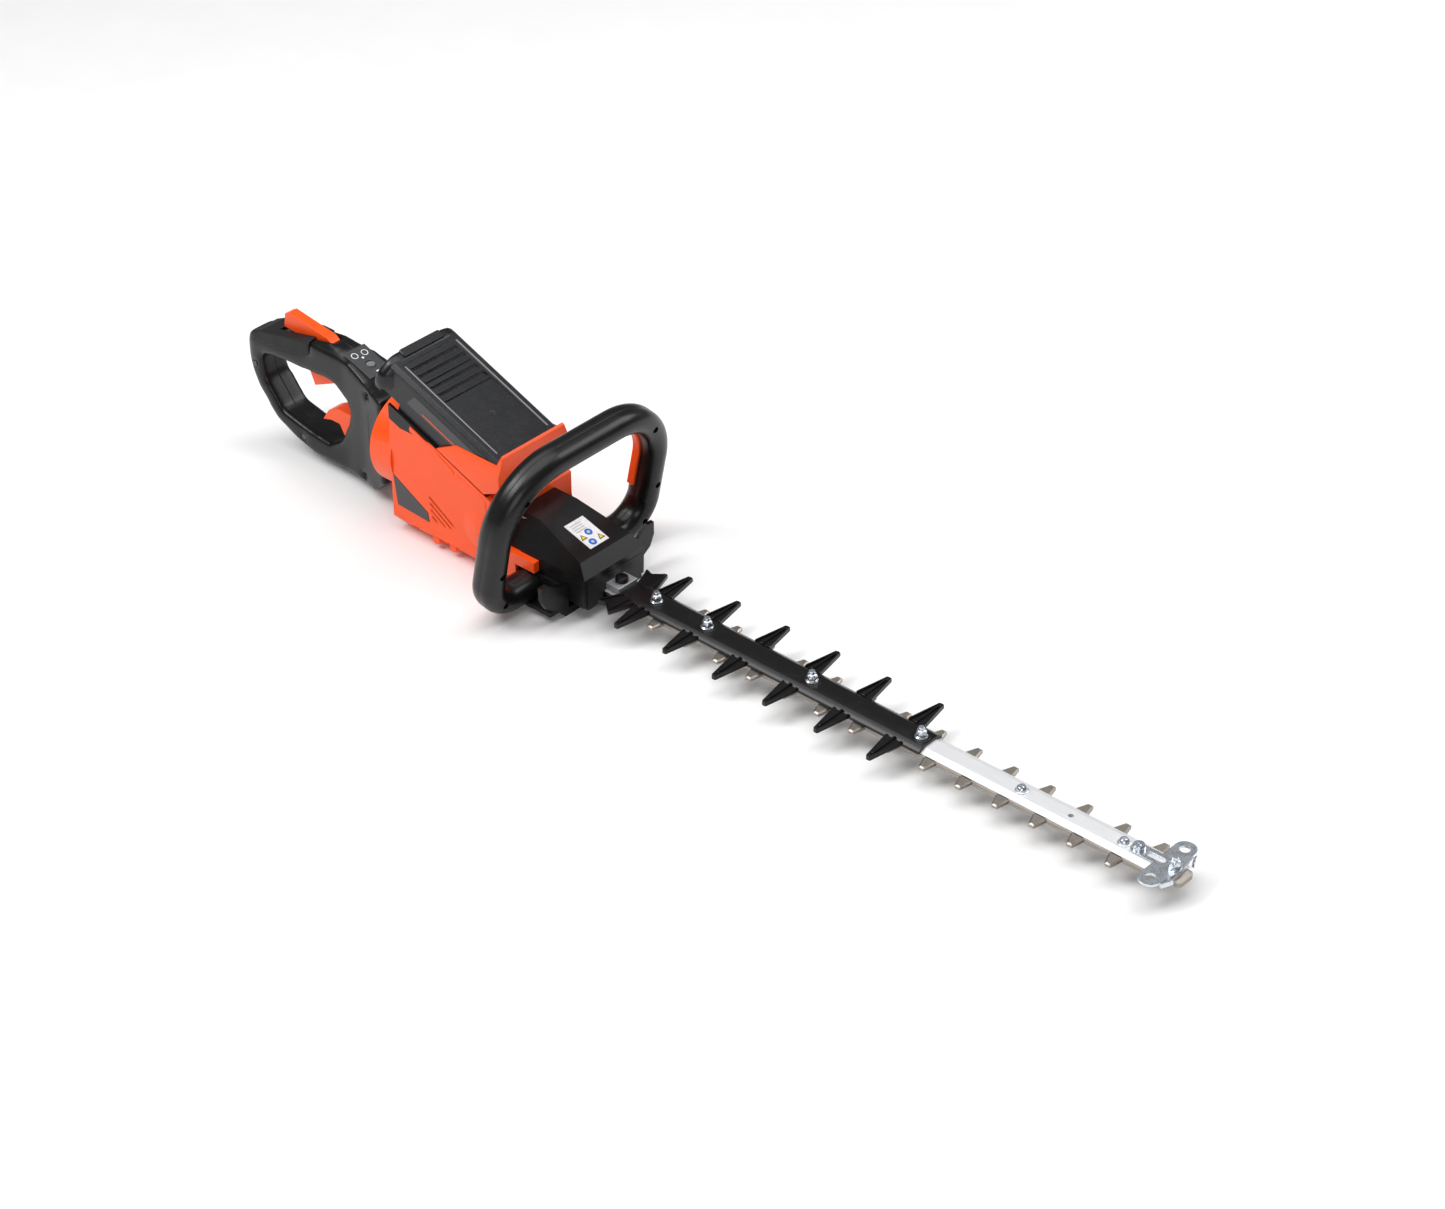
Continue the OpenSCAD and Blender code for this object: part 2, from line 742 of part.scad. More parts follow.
module sweeper_nuts() {
    color("silver") stand() for (x = nut_x) translate([x, 0, sweeper_top]) flange_nut(bolt_r + 0.05);
}
module tip_nut() {
    color("silver") stand() translate([tip_nut_x, 0, bar_top + 2]) flange_nut(bolt_r + 0.05);
}
module tip_screw() {
    color("silver") stand() translate([tip_screw_x, 0, 0]) {
        translate([0, 0, bar_foot + 0.5]) cylinder(r = bolt_r, h = bar_t + 2);
        translate([0, 0, bar_top + 2]) cylinder(r = 5, h = 4.2);
    }
}

// ---- blades ----

// one tooth's corners at x, from its rear root to its front root
function tooth(x, side) = [
    [x - 7, side * strip_hw], [x - 2.8, side * tooth_reach], [x + 2, side * tooth_reach],
        [x + 4, side * strip_hw]
];
function turned(points) = [for (k = [len(points) - 1:-1:0]) points[k]];
function tip_corner(side) = [
    for (k = [0:4]) [blade_tip_x - 4 + 4 * sin(22.5 * k), side * (tip_hw - 4 + 4 * cos(22.5 * k))]
];

module blade_2d() {
    right_teeth = [for (k = [0:tooth_count - 1]) each tooth(first_tooth_x + tooth_pitch * k, -1)];
    left_teeth = [for (k = [0:tooth_count - 1]) each tooth(first_tooth_x + side_lag + tooth_pitch * k, 1)];
    difference() {
        union() {
            polygon(concat(
                [[crank_x, -neck_hw], [-30, -neck_hw], [-26, -strip_hw]], right_teeth, tip_corner(-1),
                turned(tip_corner(1)), turned(left_teeth), [[-26, strip_hw], [-30, neck_hw],
                    [crank_x, neck_hw]]));
            translate([crank_x, 0]) square([2 * (yoke_hl + yoke_rim), 2 * (yoke_hw + yoke_rim)],
                center = true);
        }
        translate([crank_x, 0]) square([2 * yoke_hl, 2 * yoke_hw], center = true);
        for (s = [-1, 1], t = [-1, 1]) translate([crank_x + s * (yoke_hl + yoke_rim),
            t * (yoke_hw + yoke_rim)])
            rotate(45) square(7, center = true);
        for (x = concat(nut_x, screw_x)) translate([x, 0]) slot_2d(slot_half, slot_hw);
    }
}

module upper_blade() {
    color([0.62, 0.6, 0.57]) stand() translate([0, 0, upper_top - blade_t]) linear_extrude(blade_t)
        blade_2d();
}
module lower_blade() {
    color([0.62, 0.6, 0.57]) stand() translate([0, 0, lower_top - blade_t]) linear_extrude(blade_t)
        blade_2d();
}

// ---- bracket at the blade root ----

module bar_bracket() {
    color("silver") stand() difference() {
        span([case_front + 0.1, -bar_w / 2 + 1, bar_top], [-31, bar_w / 2 - 1, bar_top + 5]);
        for (x = bracket_x) translate([x, 0, -10]) cylinder(r = bolt_r + 0.1, h = 30);
    }
}
module bracket_bolts() {
    color("dimgray") stand() for (x = bracket_x) translate([x, 0, 0]) {
        translate([0, 0, bar_foot]) cylinder(r = bolt_r, h = bar_t + 5);
        translate([0, 0, bar_top + 5]) cylinder(r = 4.5, h = 3);
    }
}

// ---- debris sweeper ----

module sweeper_outline() {
    w = sweeper_hw;
    front_slab([[-w, bar_foot + 0.6], [w, bar_foot + 0.6], [w, bar_foot + 2.6], [w - 5.5, sweeper_top],
                [-w + 5.5, sweeper_top], [-w, bar_foot + 2.6]], sweeper_rear, sweeper_front);
}

module spine(x, side) {
    root = sweeper_hw - 1.5;
    translate([0, 0, bar_foot + 0.8]) linear_extrude(3.4)
        polygon([[x - 8, side * root], [x - 2, side * spine_reach], [x + 2, side * spine_reach],
            [x + 8, side * root]]);
    translate([0, 0, bar_foot + 4.1]) linear_extrude(1.3)
        polygon([[x - 1, side * root], [x - 1, side * (spine_reach - 6)], [x + 1, side * (spine_reach - 6)],
                 [x + 1, side * root]]);
}

module debris_sweeper() {
    color([0.08, 0.08, 0.08]) stand() difference() {
        union() {
            sweeper_outline();
            for (k = [0:spine_count - 1], s = [-1, 1]) spine(first_spine_x + spine_pitch * k, s);
            for (s = [-1, 1]) translate([0, 0, bar_foot + 0.8]) linear_extrude(4)
                polygon([[-30, s * 8], [-38, s * 30], [-27, s * 26], [-20, s * 36], [-12, s * 12]]);
        }
        bar_body(0);
        for (x = nut_x) translate([x, 0, bar_foot]) cylinder(r = bolt_r + 0.1, h = 12);
    }
}

// ---- tip guard ----

module tip_guard() {
    color([0.72, 0.78, 0.84]) stand() difference() {
        union() {
            translate([0, 0, bar_top]) linear_extrude(2) {
                translate([tip_screw_x, 0]) circle(6.3);
                translate([tip_screw_x, -6.3]) square([bar_end_x - tip_screw_x, 12.6]);
                polygon([[498, -6], [500, -22], [500, 22], [498, 6]]);
                for (s = [-1, 1]) {
                    translate([506, s * (ear_reach - 9)]) circle(9);
                    polygon([[497, s * (ear_reach - 9)], [497, 0], [519, 0], [515, s * (ear_reach - 9)]]);
                }
            }
            // turned-down rim along the ears' front
            for (s = [-1, 1]) translate([0, 0, bar_top - 3]) linear_extrude(4)
                polygon([[518.5, s * 13], [520.5, s * 13], [516.5, s * (ear_reach - 9)],
                    [514.5, s * (ear_reach - 9)]]);
        }
        for (x = [tip_nut_x, tip_screw_x]) translate([x, 0, bar_foot]) cylinder(r = bolt_r + 0.1, h = 10);
        translate([495.5, 0, bar_foot]) linear_extrude(10) slot_2d(8.5, 2.8);
        for (s = [-1, 1]) translate([506, s * (ear_reach - 9.5), bar_foot]) cylinder(r = 4.2, h = 10);
    }
}

// ---- rear handle ----

function handle_outer() = [
    [rear_x, 68], [rear_x + 1, 52], [rear_x + 14, 25], [rear_x + 36, 2], [rear_x + 62, -10], [-386, -16],
    [-346, -19], [-310, -19.5], [-296, -6], [swivel_x - 0.6, 2], [swivel_x - 0.6, 84], [-312, 88],
        [-348, 101],
    [-366, 103.5], [-390, 99], [rear_x + 24, 86], [rear_x + 6, 78]
];
function handle_inner() = [
    [rear_x + 20, 55], [rear_x + 24, 38], [rear_x + 44, 13], [rear_x + 76, 6], [-368, 3], [-354, 12],
        [-342, 36],
    [-339, 48], [-342, 56], [-350, 61], [-357, 67], [-366, 69], [-396, 67], [rear_x + 36, 65],
        [rear_x + 24, 61]
];

// plan of the rear handle: slim grip, widening to the round joint
function handle_plan() = [
    [rear_x - 1, -9], [rear_x + 8, -grip_hw + 1], [rear_x + 40, -grip_hw], [-345, -grip_hw],
        [-318, -grip_hw - 4],
    [swivel_x - 0.6, -30], [swivel_x - 0.6, 30], [-318, grip_hw + 4], [-345, grip_hw],
        [rear_x + 40, grip_hw],
    [rear_x + 8, grip_hw - 1], [rear_x - 1, 9]
];

module handle_block() {
    intersection() {
        side_slab(handle_outer(), -40, 40);
        translate([0, 0, -60]) linear_extrude(220) polygon(handle_plan());
        // rounded edges along the grip's length
        union() {
            side_slab(handle_outer(), -grip_hw + 5, grip_hw - 5);
            translate([0, 0, -15]) linear_extrude(112) polygon(handle_plan());
        }
    }
}

// rooms for the switch in the top limb and for the trigger in its slot
module handle_space(y) {
    side_slab([[-392, 72], [-392, 90], [-350, 92], [-332, 90], [-332, 64], [-348, 66], [-357, 72]], -y, y);
    side_slab([[-345, 62], [-352, 72], [-362, 62], [-408, 62], [-408, 86], [-350, 86]],
              -trigger_w / 2 - 0.5, trigger_w / 2 + 0.5);
}

module rear_handle() {
    difference() {
        union() {
            difference() {
                handle_block();
                side_slab(handle_inner(), -60, 60);
            }
            long_bar(swivel_r - 6, swivel_x - 1, swivel_x + 5.3, swivel_z);
            long_bar(swivel_r - 3, swivel_x + 5.3, swivel_x + 10.5, swivel_z);
        }
        long_bar(swivel_r - 14, swivel_x - 20, swivel_x + 12, swivel_z);
        side_slab([[-330, 20], [-320, 10], [-296, 20], [-296, 60], [-320, 74], [-334, 64]],
            -grip_hw + wall, grip_hw - wall);
        handle_space(grip_hw - wall);
        lockout_room();
        release_room();
        panel_slab(0.1);
        translate([button_x, 0, 76]) cylinder(r = 4 + run_gap, h = 40);
        for (p = [trigger_pin_at, lockout_pin_at, release_pin_at])
            cross_bar(p, pin_r + 0.05, -grip_hw + 1.5, grip_hw - 1.5);
        for (p = handle_screw_xz) {
            cross_bar(p, 1.5, -12, 12);
            cross_bar(p, 3, -60, -12);
        }
        grip_skin();
    }
}

module rear_handle_right() {
    color([0.09, 0.09, 0.1]) stand() intersection() {
        rear_handle();
        span([-600, -100, -60], [0, 0, 200]);
    }
}
module rear_handle_left() {
    color([0.09, 0.09, 0.1]) stand() intersection() {
        rear_handle();
        span([-600, 0, -60], [0, 100, 200]);
    }
}
module handle_screws() {
    color("dimgray") stand() for (p = handle_screw_xz) {
        cross_bar(p, 1.4, -14, 10);
        cross_bar(p, 2.8, -15, -12);
    }
}

// soft cover over the top of the grip, around the lock-out lever
module grip_skin() {
    difference() {
        intersection() {
            handle_block();
            side_slab([[rear_x + 10, 74], [rear_x + 20, 100], [-386, 108], [-386, 86], [-396, 80],
                [rear_x + 40, 75]],
                      -60, 60);
        }
        side_slab([[rear_x, 60], [rear_x + 8, 75], [rear_x + 26, 83.5], [-380, 98], [-380, 60]],
            -grip_hw + 2.5, grip_hw - 2.5);
        lockout_room();
    }
}
module grip_cover() {
    color([0.13, 0.13, 0.14]) stand() grip_skin();
}

module panel_slab(grow) {
    translate([-348, 0, 101]) rotate([0, atan2(13, 36), 0])
        span([2 - grow, -12 - grow, -1], [36 + grow, 12 + grow, 0.6]);
}
module handle_panel() {
    color([0.2, 0.2, 0.22]) stand() difference() {
        panel_slab(0);
        translate([button_x, 0, 60]) cylinder(r = 4 + run_gap, h = 60);
    }
}

module power_button() {
    color("gray") stand() translate([button_x, 0, 87]) cylinder(r = 4, h = 7.5);
}

module trigger_switch() {
    color([0.2, 0.2, 0.22]) stand() span([-350, -7, 84.5], [-336, 7, 89.5]);
}

module handle_pins() {
    color("silver") stand() for (p = [trigger_pin_at, lockout_pin_at, release_pin_at])
        cross_bar(p, pin_r, -grip_hw + 2, grip_hw - 2);
}

module trigger() {
    color("orangered") stand() difference() {
        side_slab([[-398, 74], [-395, 63], [-390, 51], [-366, 62], [-359, 72], [-359, 83], [-368, 84],
            [-376, 77]],
                  -trigger_w / 2, trigger_w / 2);
        cross_bar(trigger_pin_at, pin_r + 0.05, -20, 20);
    }
}

module lockout_room() {
    side_slab([[-436, 100], [-434, 82], [-366, 88], [-364, 97], [-364, 130], [-436, 130]],
        -lever_hw - 0.5, lever_hw + 0.5);
}
module lockout_lever() {
    color("orangered") stand() difference() {
        side_slab([[-428, 93.5], [-426, 107], [-421, 109.5], [-373, 102.5], [-368, 99], [-369, 92],
            [-380, 89.5]], -lever_hw, lever_hw);
        cross_bar(lockout_pin_at, pin_r + 0.05, -20, 20);
    }
}

module release_room() {
    side_slab([[-360, 4], [-384, 12], [-384, 42], [-338, 43], [-336, 4]], -8.5, 8.5);
}
module release_lever() {
    color("orangered") stand() difference() {
        side_slab([[-383, 20], [-375, 32], [-363, 38], [-346, 38], [-341, 30], [-341, 13], [-349, 10],
            [-357, 14],
                   [-362, 23], [-372, 23]], -8, 8);
        cross_bar(release_pin_at, pin_r + 0.05, -20, 20);
    }
}

// ---- battery ----

module pack_block(inset) {
    span([6 + inset, -battery_w / 2 + inset, -pack_rear_t + inset],
         [battery_l - inset, battery_w / 2 - inset, -inset]);
    span([pack_step + inset, -battery_w / 2 + inset, -battery_t + inset],
         [battery_l - inset, battery_w / 2 - inset, -inset - 10]);
}

module latch_room(grow) {
    span([-10, -latch_hw - grow, -pack_rear_t + 5 - grow], [8 + grow, latch_hw + grow, -12 + grow]);
}

module battery_case() {
    color([0.12, 0.12, 0.13]) stand() battery_frame() difference() {
        intersection() {
            union() {
                pack_block(0);
                span([3, -battery_w / 2 - 6, -27], [10, battery_w / 2 + 6, -14]);
                span([1, -23, -28], [12, 23, -7]);
            }
            span([-20, -60, -100], [battery_l + 5, 60, -6]);
        }
        pack_block(2.5);
        latch_room(0.4);
        span([battery_l - 36, -14, -battery_t - 1], [battery_l - 22, 14, -battery_t + 3]);
        battery_screw_places() cylinder(r = 2.4, h = 2.4);
    }
}

module battery_lid() {
    color([0.12, 0.12, 0.13]) stand() battery_frame() difference() {
        span([8, -battery_w / 2, -6], [battery_l, battery_w / 2, 0]);
        span([10.5, -battery_w / 2 + 2.5, -7], [battery_l - 2.5, battery_w / 2 - 2.5, -3.2]);
        for (x = groove_at) span([x, -26, -2], [x + 4, 26, 1]);
        span([14, -29, -0.8], [battery_l - 8, 29, 1]);
        for (s = [-1, 1]) translate([0, s * battery_w / 2, 0]) rotate([45, 0, 0])
            cube([400, 5, 5], center = true);
    }
}

module battery_cells() {
    color("steelblue") stand() battery_frame() {
        for (k = [0:5]) translate([battery_l - 13 - cell_pitch * k, cell_hl, -6 - cell_r])
            rotate([90, 0, 0]) cylinder(r = cell_r, h = 2 * cell_hl);
        for (k = [0:4]) translate([battery_l - 13 - cell_pitch * k, cell_hl, -6 - 3 * cell_r - 0.2])
            rotate([90, 0, 0]) cylinder(r = cell_r, h = 2 * cell_hl);
    }
}

module battery_contacts() {
    color("gold") stand() battery_frame() for (y = [-9, -3, 3, 9])
        span([battery_l - 34, y - 0.6, -battery_t + 0.2], [battery_l - 24, y + 0.6, -battery_t + 3]);
}

module battery_screw_places() {
    for (s = [-1, 1], p = [[18, -pack_rear_t], [battery_l - 12, -battery_t]])
        translate([p[0], s * (battery_w / 2 - 3), p[1]]) children();
}
module battery_screws() {
    color("dimgray") stand() battery_frame() battery_screw_places() cylinder(r = 2.3, h = 2.2);
}

module battery_latch() {
    color([0.2, 0.2, 0.22]) stand() battery_frame()
        span([-0.6, -latch_hw, -pack_rear_t + 5], [6.5, latch_hw, -12]);
}

housing_right();
housing_left();
battery_strap();
battery_cradle();
terminal_block();
housing_screws();
badges();
motor_can();
motor_stator();
motor_bearings();
controller_board();
wiring();
gear_case();
bottom_plate();
crank_bearings();
front_cover();
cover_label();
cover_screws();
hand_guard();
front_handle_front();
front_handle_rear();
front_handle_screws();
front_switch();
bar_bracket();
bracket_bolts();
guide_bar();
bar_bolts();
bar_screws();
debris_sweeper();
sweeper_nuts();
tip_guard();
tip_screw();
tip_nut();
motor_rotor();
motor_shaft();
pinion();
drive_gear();
crank_shaft();
upper_blade();
lower_blade();
switch_bar();
rear_handle_right();
rear_handle_left();
grip_cover();
handle_panel();
handle_screws();
trigger_switch();
handle_pins();
trigger();
lockout_lever();
release_lever();
power_button();
battery_case();
battery_lid();
battery_cells();
battery_contacts();
battery_screws();
battery_latch();
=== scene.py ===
import math
import json
import bmesh
import bpy
from mathutils import Matrix, Vector
from mathutils.geometry import interpolate_bezier


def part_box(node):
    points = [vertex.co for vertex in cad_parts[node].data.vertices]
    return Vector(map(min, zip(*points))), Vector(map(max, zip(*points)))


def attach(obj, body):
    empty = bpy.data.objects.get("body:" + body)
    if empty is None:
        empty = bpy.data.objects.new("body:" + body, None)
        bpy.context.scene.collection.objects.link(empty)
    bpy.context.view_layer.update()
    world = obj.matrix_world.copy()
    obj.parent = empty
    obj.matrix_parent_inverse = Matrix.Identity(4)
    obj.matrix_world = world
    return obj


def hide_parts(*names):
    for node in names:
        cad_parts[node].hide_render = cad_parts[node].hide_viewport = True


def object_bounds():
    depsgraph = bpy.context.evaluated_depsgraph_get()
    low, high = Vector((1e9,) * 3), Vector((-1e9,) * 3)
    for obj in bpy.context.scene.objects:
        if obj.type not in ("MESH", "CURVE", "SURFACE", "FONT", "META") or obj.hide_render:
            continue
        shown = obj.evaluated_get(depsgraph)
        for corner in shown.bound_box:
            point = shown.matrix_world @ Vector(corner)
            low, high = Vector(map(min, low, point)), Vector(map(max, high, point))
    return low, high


bl_info = {
    "name": "Hedge trimmer looks",
    "version": (1, 0, 0),
    "blender": (4, 5, 0),
    "location": "3D View > Sidebar > Hedge trimmer",
    "description": "Builds the visible pieces and finishes of a battery hedge trimmer around its CAD frame",
    "category": "Object",
}

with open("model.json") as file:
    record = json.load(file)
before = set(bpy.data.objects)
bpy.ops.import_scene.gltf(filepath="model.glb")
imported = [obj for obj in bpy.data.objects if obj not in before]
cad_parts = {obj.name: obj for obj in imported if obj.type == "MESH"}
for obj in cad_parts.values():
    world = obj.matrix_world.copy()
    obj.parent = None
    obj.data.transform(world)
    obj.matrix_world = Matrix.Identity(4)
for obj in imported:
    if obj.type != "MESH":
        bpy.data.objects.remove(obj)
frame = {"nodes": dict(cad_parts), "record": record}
CAD_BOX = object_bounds()
MM = 0.001
UP, ALONG, ACROSS = Vector((0, 0, 1)), Vector((1, 0, 0)), Vector((0, 1, 0))
# lengths of the drawing, in millimetres
NUT_FLANGE_R, NUT_BORE_R = 5.4, 2.55
BAR_BELOW_DATUM = 2.2
CRADLE_INSET = 0.5
SWIVEL_HEIGHT, CHEEK_HALF = 44, 25
PEBBLE = 0.9
# places along the bar: the sweeper's nuts, the tip guard's nut and the screws of the bare end
SWEEPER_NUTS, TIP_NUT, BAR_SCREWS = (0, 55, 165, 275), 512, (372, 467)
DUST_COLOUR, STAIN_COLOUR = (0.5, 0.48, 0.45), (0.2, 0.13, 0.09)
RING_STEPS = 36
# the drawing's own origin: first sweeper nut, and the height datum of the guide bar
DATUM_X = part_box("sweeper_nuts")[0][0] / MM + NUT_FLANGE_R
DATUM_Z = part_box("guide_bar")[1][2] / MM + BAR_BELOW_DATUM
BODY_OF = {node: body for body, nodes in frame["record"]["behaviour"]["bodies"].items() for node in nodes}
SLOT_OF = {part["node"]: part["material_slot"] for part in frame["record"]["subparts"]}


# ---- placing and meshes ----

def at(x, y, z):
    """A point of the drawing, in millimetres, as a place in the scene."""
    return Vector(((x + DATUM_X) * MM, y * MM, (z + DATUM_Z) * MM))


def placed(origin, x_axis, y_axis):
    """Matrix of a local frame whose unit is a millimetre."""
    x, y = x_axis.normalized(), y_axis.normalized()
    z = x.cross(y)
    turn = Matrix((x, y, z)).transposed().to_4x4()
    return Matrix.Translation(origin) @ turn @ Matrix.Scale(MM, 4)


def sloping(x, z, angle):
    """Local frame on a face that falls towards the tip, and the direction down it."""
    down = Vector((math.cos(angle), 0, -math.sin(angle)))
    return placed(at(x, 0, z), down, ACROSS), down


def new_object(name, mesh):
    """Links a mesh as an object at the origin."""
    made = bpy.data.objects.new(name, mesh)
    bpy.context.scene.collection.objects.link(made)
    return made


def from_bmesh(name, work, angle=40.0):
    """Turns a bmesh into an object with faces smooth up to an angle."""
    bmesh.ops.remove_doubles(work, verts=work.verts, dist=1e-7)
    bmesh.ops.recalc_face_normals(work, faces=work.faces)
    mesh = bpy.data.meshes.new(name)
    work.to_mesh(mesh)
    work.free()
    return shaded(new_object(name, mesh), angle)


def shaded(piece, angle=40.0):
    """Smooth faces with creases kept above an angle."""
    mesh = piece.data
    mesh.shade_smooth()
    mesh.set_sharp_from_angle(angle=math.radians(angle))
    return piece


def flattened(piece):
    """Replaces an object by the plain mesh of what its modifiers give."""
    depsgraph = bpy.context.evaluated_depsgraph_get()
    mesh = bpy.data.meshes.new_from_object(piece.evaluated_get(depsgraph), depsgraph=depsgraph)
    piece.modifiers.clear()
    old = piece.data
    if isinstance(old, bpy.types.Mesh):
        piece.data = mesh
        bpy.data.meshes.remove(old)
        return piece
    name = piece.name
    bpy.data.objects.remove(piece)
    return new_object(name, mesh)


def welded(name, nodes):
    """One object with the merged and cleaned faces of some CAD nodes."""
    work = bmesh.new()
    for node in nodes:
        work.from_mesh(frame["nodes"][node].data)
    bmesh.ops.remove_doubles(work, verts=work.verts, dist=2e-6)
    bmesh.ops.dissolve_limit(work, angle_limit=math.radians(0.6), verts=work.verts, edges=work.edges)
    mesh = bpy.data.meshes.new(name)
    work.to_mesh(mesh)
    work.free()
    return new_object(name, mesh)


def finish_piece(piece, body, slot, material=None, stands_for=()):
    """Gives a piece its finish, body and slot, and hides what it stands for."""
    piece.data.materials.clear()
    piece.data.materials.append(material or FINISH[slot])
    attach(piece, body)
    if stands_for:
        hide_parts(*stands_for)
    return piece


def stand_in(piece, nodes):
    """Finishes a piece that takes the place of CAD nodes of one body and one slot."""
    return finish_piece(piece, BODY_OF[nodes[0]], SLOT_OF[nodes[0]], None, nodes)


def eased(node, width, segments=3, angle=28.0, crisp=None):
    """The CAD node with its edges rounded over, apart from edges inside the crisp (x, z) range."""
    piece = welded(node + "_eased", [node])
    bevel = piece.modifiers.new("edges", "BEVEL")
    bevel.width = width * MM
    bevel.segments = segments
    bevel.limit_method = "ANGLE"
    bevel.angle_limit = math.radians(angle)
    if crisp:
        low, high = at(crisp[0], 0, crisp[1]), at(crisp[2], 0, crisp[3])
        work = bmesh.new()
        work.from_mesh(piece.data)
        layer = work.edges.layers.float.new("bevel_weight_edge")
        for edge in work.edges:
            middle = (edge.verts[0].co + edge.verts[1].co) / 2
            inside = low.x < middle.x < high.x and low.z < middle.z < high.z
            turned = len(edge.link_faces) == 2 and edge.calc_face_angle(0) > bevel.angle_limit
            edge[layer] = 1.0 if turned and not inside else 0.0
        work.to_mesh(piece.data)
        work.free()
        bevel.limit_method = "WEIGHT"
    bevel.miter_outer = "MITER_ARC"
    weighted = piece.modifiers.new("normals", "WEIGHTED_NORMAL")
    weighted.keep_sharp = False
    piece.data.shade_smooth()
    return stand_in(flattened(piece), [node])


def softened(piece, voxel, rounds):
    """Replaces an object by its voxel skin, smoothed over a number of rounds."""
    remesh = piece.modifiers.new("skin", "REMESH")
    remesh.mode = "VOXEL"
    remesh.voxel_size = voxel * MM
    smooth = piece.modifiers.new("soften", "SMOOTH")
    smooth.factor = 0.5
    smooth.iterations = rounds
    return flattened(piece)


def remoulded(node, voxel, rounds):
    """The CAD node with every edge softened like thick overmoulding."""
    piece = softened(welded(node + "_soft", [node]), voxel, rounds)
    piece.data.shade_smooth()
    return stand_in(piece, [node])


def moulded_pair(name, nodes, voxel, rounds, seam=0.35, sunk=0.45):
    """Two shells as one thick moulding with soft edges and a shallow parting groove at y = 0."""
    piece = welded(name, nodes)
    work = bmesh.new()
    work.from_mesh(piece.data)
    inside = [f for f in work.faces if all(abs(v.co.y) < 1e-5 for v in f.verts)]
    bmesh.ops.delete(work, geom=inside, context="FACES")
    bmesh.ops.remove_doubles(work, verts=work.verts, dist=2e-5)
    work.to_mesh(piece.data)
    work.free()
    piece = softened(piece, voxel, rounds)
    work = bmesh.new()
    work.from_mesh(piece.data)
    for y in (-seam, 0, seam):
        bmesh.ops.bisect_plane(work, geom=work.verts[:] + work.edges[:] + work.faces[:], dist=1e-7,
                               plane_co=(0, y * MM, 0), plane_no=(0, 1, 0))
    work.normal_update()
    groove = [(v, v.normal.copy()) for v in work.verts if abs(v.co.y) < 1e-6]
    for v, normal in groove:
        normal.y = 0
        v.co -= normal * sunk * MM
    work.to_mesh(piece.data)
    work.free()
    piece.data.shade_smooth()
    return stand_in(piece, nodes)


def add_loft(work, rings, matrix, closed_ends=True):
    """Skins a list of rings, each a list of local points, and caps its ends."""
    made = [[work.verts.new(matrix @ Vector(p)) for p in ring] for ring in rings]
    count = len(made[0])
    for low, high in zip(made, made[1:]):
        for k in range(count):
            work.faces.new((low[k], low[(k + 1) % count], high[(k + 1) % count], high[k]))
    if closed_ends:
        work.faces.new(made[0][::-1])
        work.faces.new(made[-1])
    return made


def around(radius, height, steps=RING_STEPS):
    """Points of a circle about the local Z axis."""
    return [(radius * math.cos(2 * math.pi * k / steps), radius * math.sin(2 * math.pi * k / steps), height)
            for k in range(steps)]


def add_lathe(work, profile, matrix, steps=32):
    """Turns a profile of (radius, height) about the local Z axis; ends on the axis are closed."""
    rings = []
    for radius, height in profile:
        if radius <= 0:
            rings.append([work.verts.new(matrix @ Vector((0, 0, height)))])
        else:
            rings.append([work.verts.new(matrix @ Vector(p)) for p in around(radius, height, steps)])
    for low, high in zip(rings, rings[1:]):
        for k in range(steps):
            corners = list(dict.fromkeys((low[k % len(low)], low[(k + 1) % len(low)],
                                          high[(k + 1) % len(high)], high[k % len(high)])))
            if len(corners) > 2:
                work.faces.new(corners)


def add_prism(work, outline, low, high, matrix, inset=0.0):
    """Extrudes an outline of local (x, y) points between two heights, with its top drawn in."""
    centre = Vector((sum(p[0] for p in outline), sum(p[1] for p in outline))) / len(outline)
    top = []
    for p in outline:
        q = Vector(p[:2])
        away = q - centre
        top.append(q - away.normalized() * min(inset, away.length * 0.9) if inset else q)
    rings = [[(p[0], p[1], low) for p in outline]]
    if inset:
        rings.append([(p[0], p[1], high - inset) for p in outline])
    rings.append([(p[0], p[1], high) for p in top])
    add_loft(work, rings, matrix)


def rounded_outline(points, radius, steps=5):
    """An outline whose corners are arcs of a radius, or as large as fits."""
    out = []
    count = len(points)
    for k in range(count):
        here = Vector(points[k][:2])
        before, after = Vector(points[k - 1][:2]) - here, Vector(points[(k + 1) % count][:2]) - here
        reach = min(radius, before.length * 0.45, after.length * 0.45)
        start, end = here + before.normalized() * reach, here + after.normalized() * reach
        start3, here3, end3 = start.to_3d(), here.to_3d(), end.to_3d()
        out.extend(tuple(q[:2]) for q in interpolate_bezier(start3, here3.lerp(start3, 0.4),
                                                            here3.lerp(end3, 0.4), end3, steps))
    return out


def rectangle(x0, y0, x1, y1):
    """Outline of a rectangle between two corners."""
    return [(x0, y0), (x1, y0), (x1, y1), (x0, y1)]


def plate(name, outlines, low, high, edge, matrix):
    """A sheet cut to outlines of local (x, y) points, the first outside, the rest holes."""
    curve = bpy.data.curves.new(name, "CURVE")
    curve.dimensions = "2D"
    curve.fill_mode = "BOTH"
    curve.extrude = (high - low) / 2 - edge
    curve.bevel_depth = edge
    curve.bevel_resolution = 2
    curve.offset = -edge
    for outline in outlines:
        spline = curve.splines.new("POLY")
        spline.points.add(len(outline) - 1)
        for point, (x, y) in zip(spline.points, outline):
            point.co = (x, y, 0, 1)
        spline.use_cyclic_u = True
    piece = flattened(new_object(name, curve))
    piece.data.transform(matrix @ Matrix.Translation((0, 0, (low + high) / 2)))
    work = bmesh.new()
    work.from_mesh(piece.data)
    bpy.data.objects.remove(piece)
    return from_bmesh(name, work, 30.0)


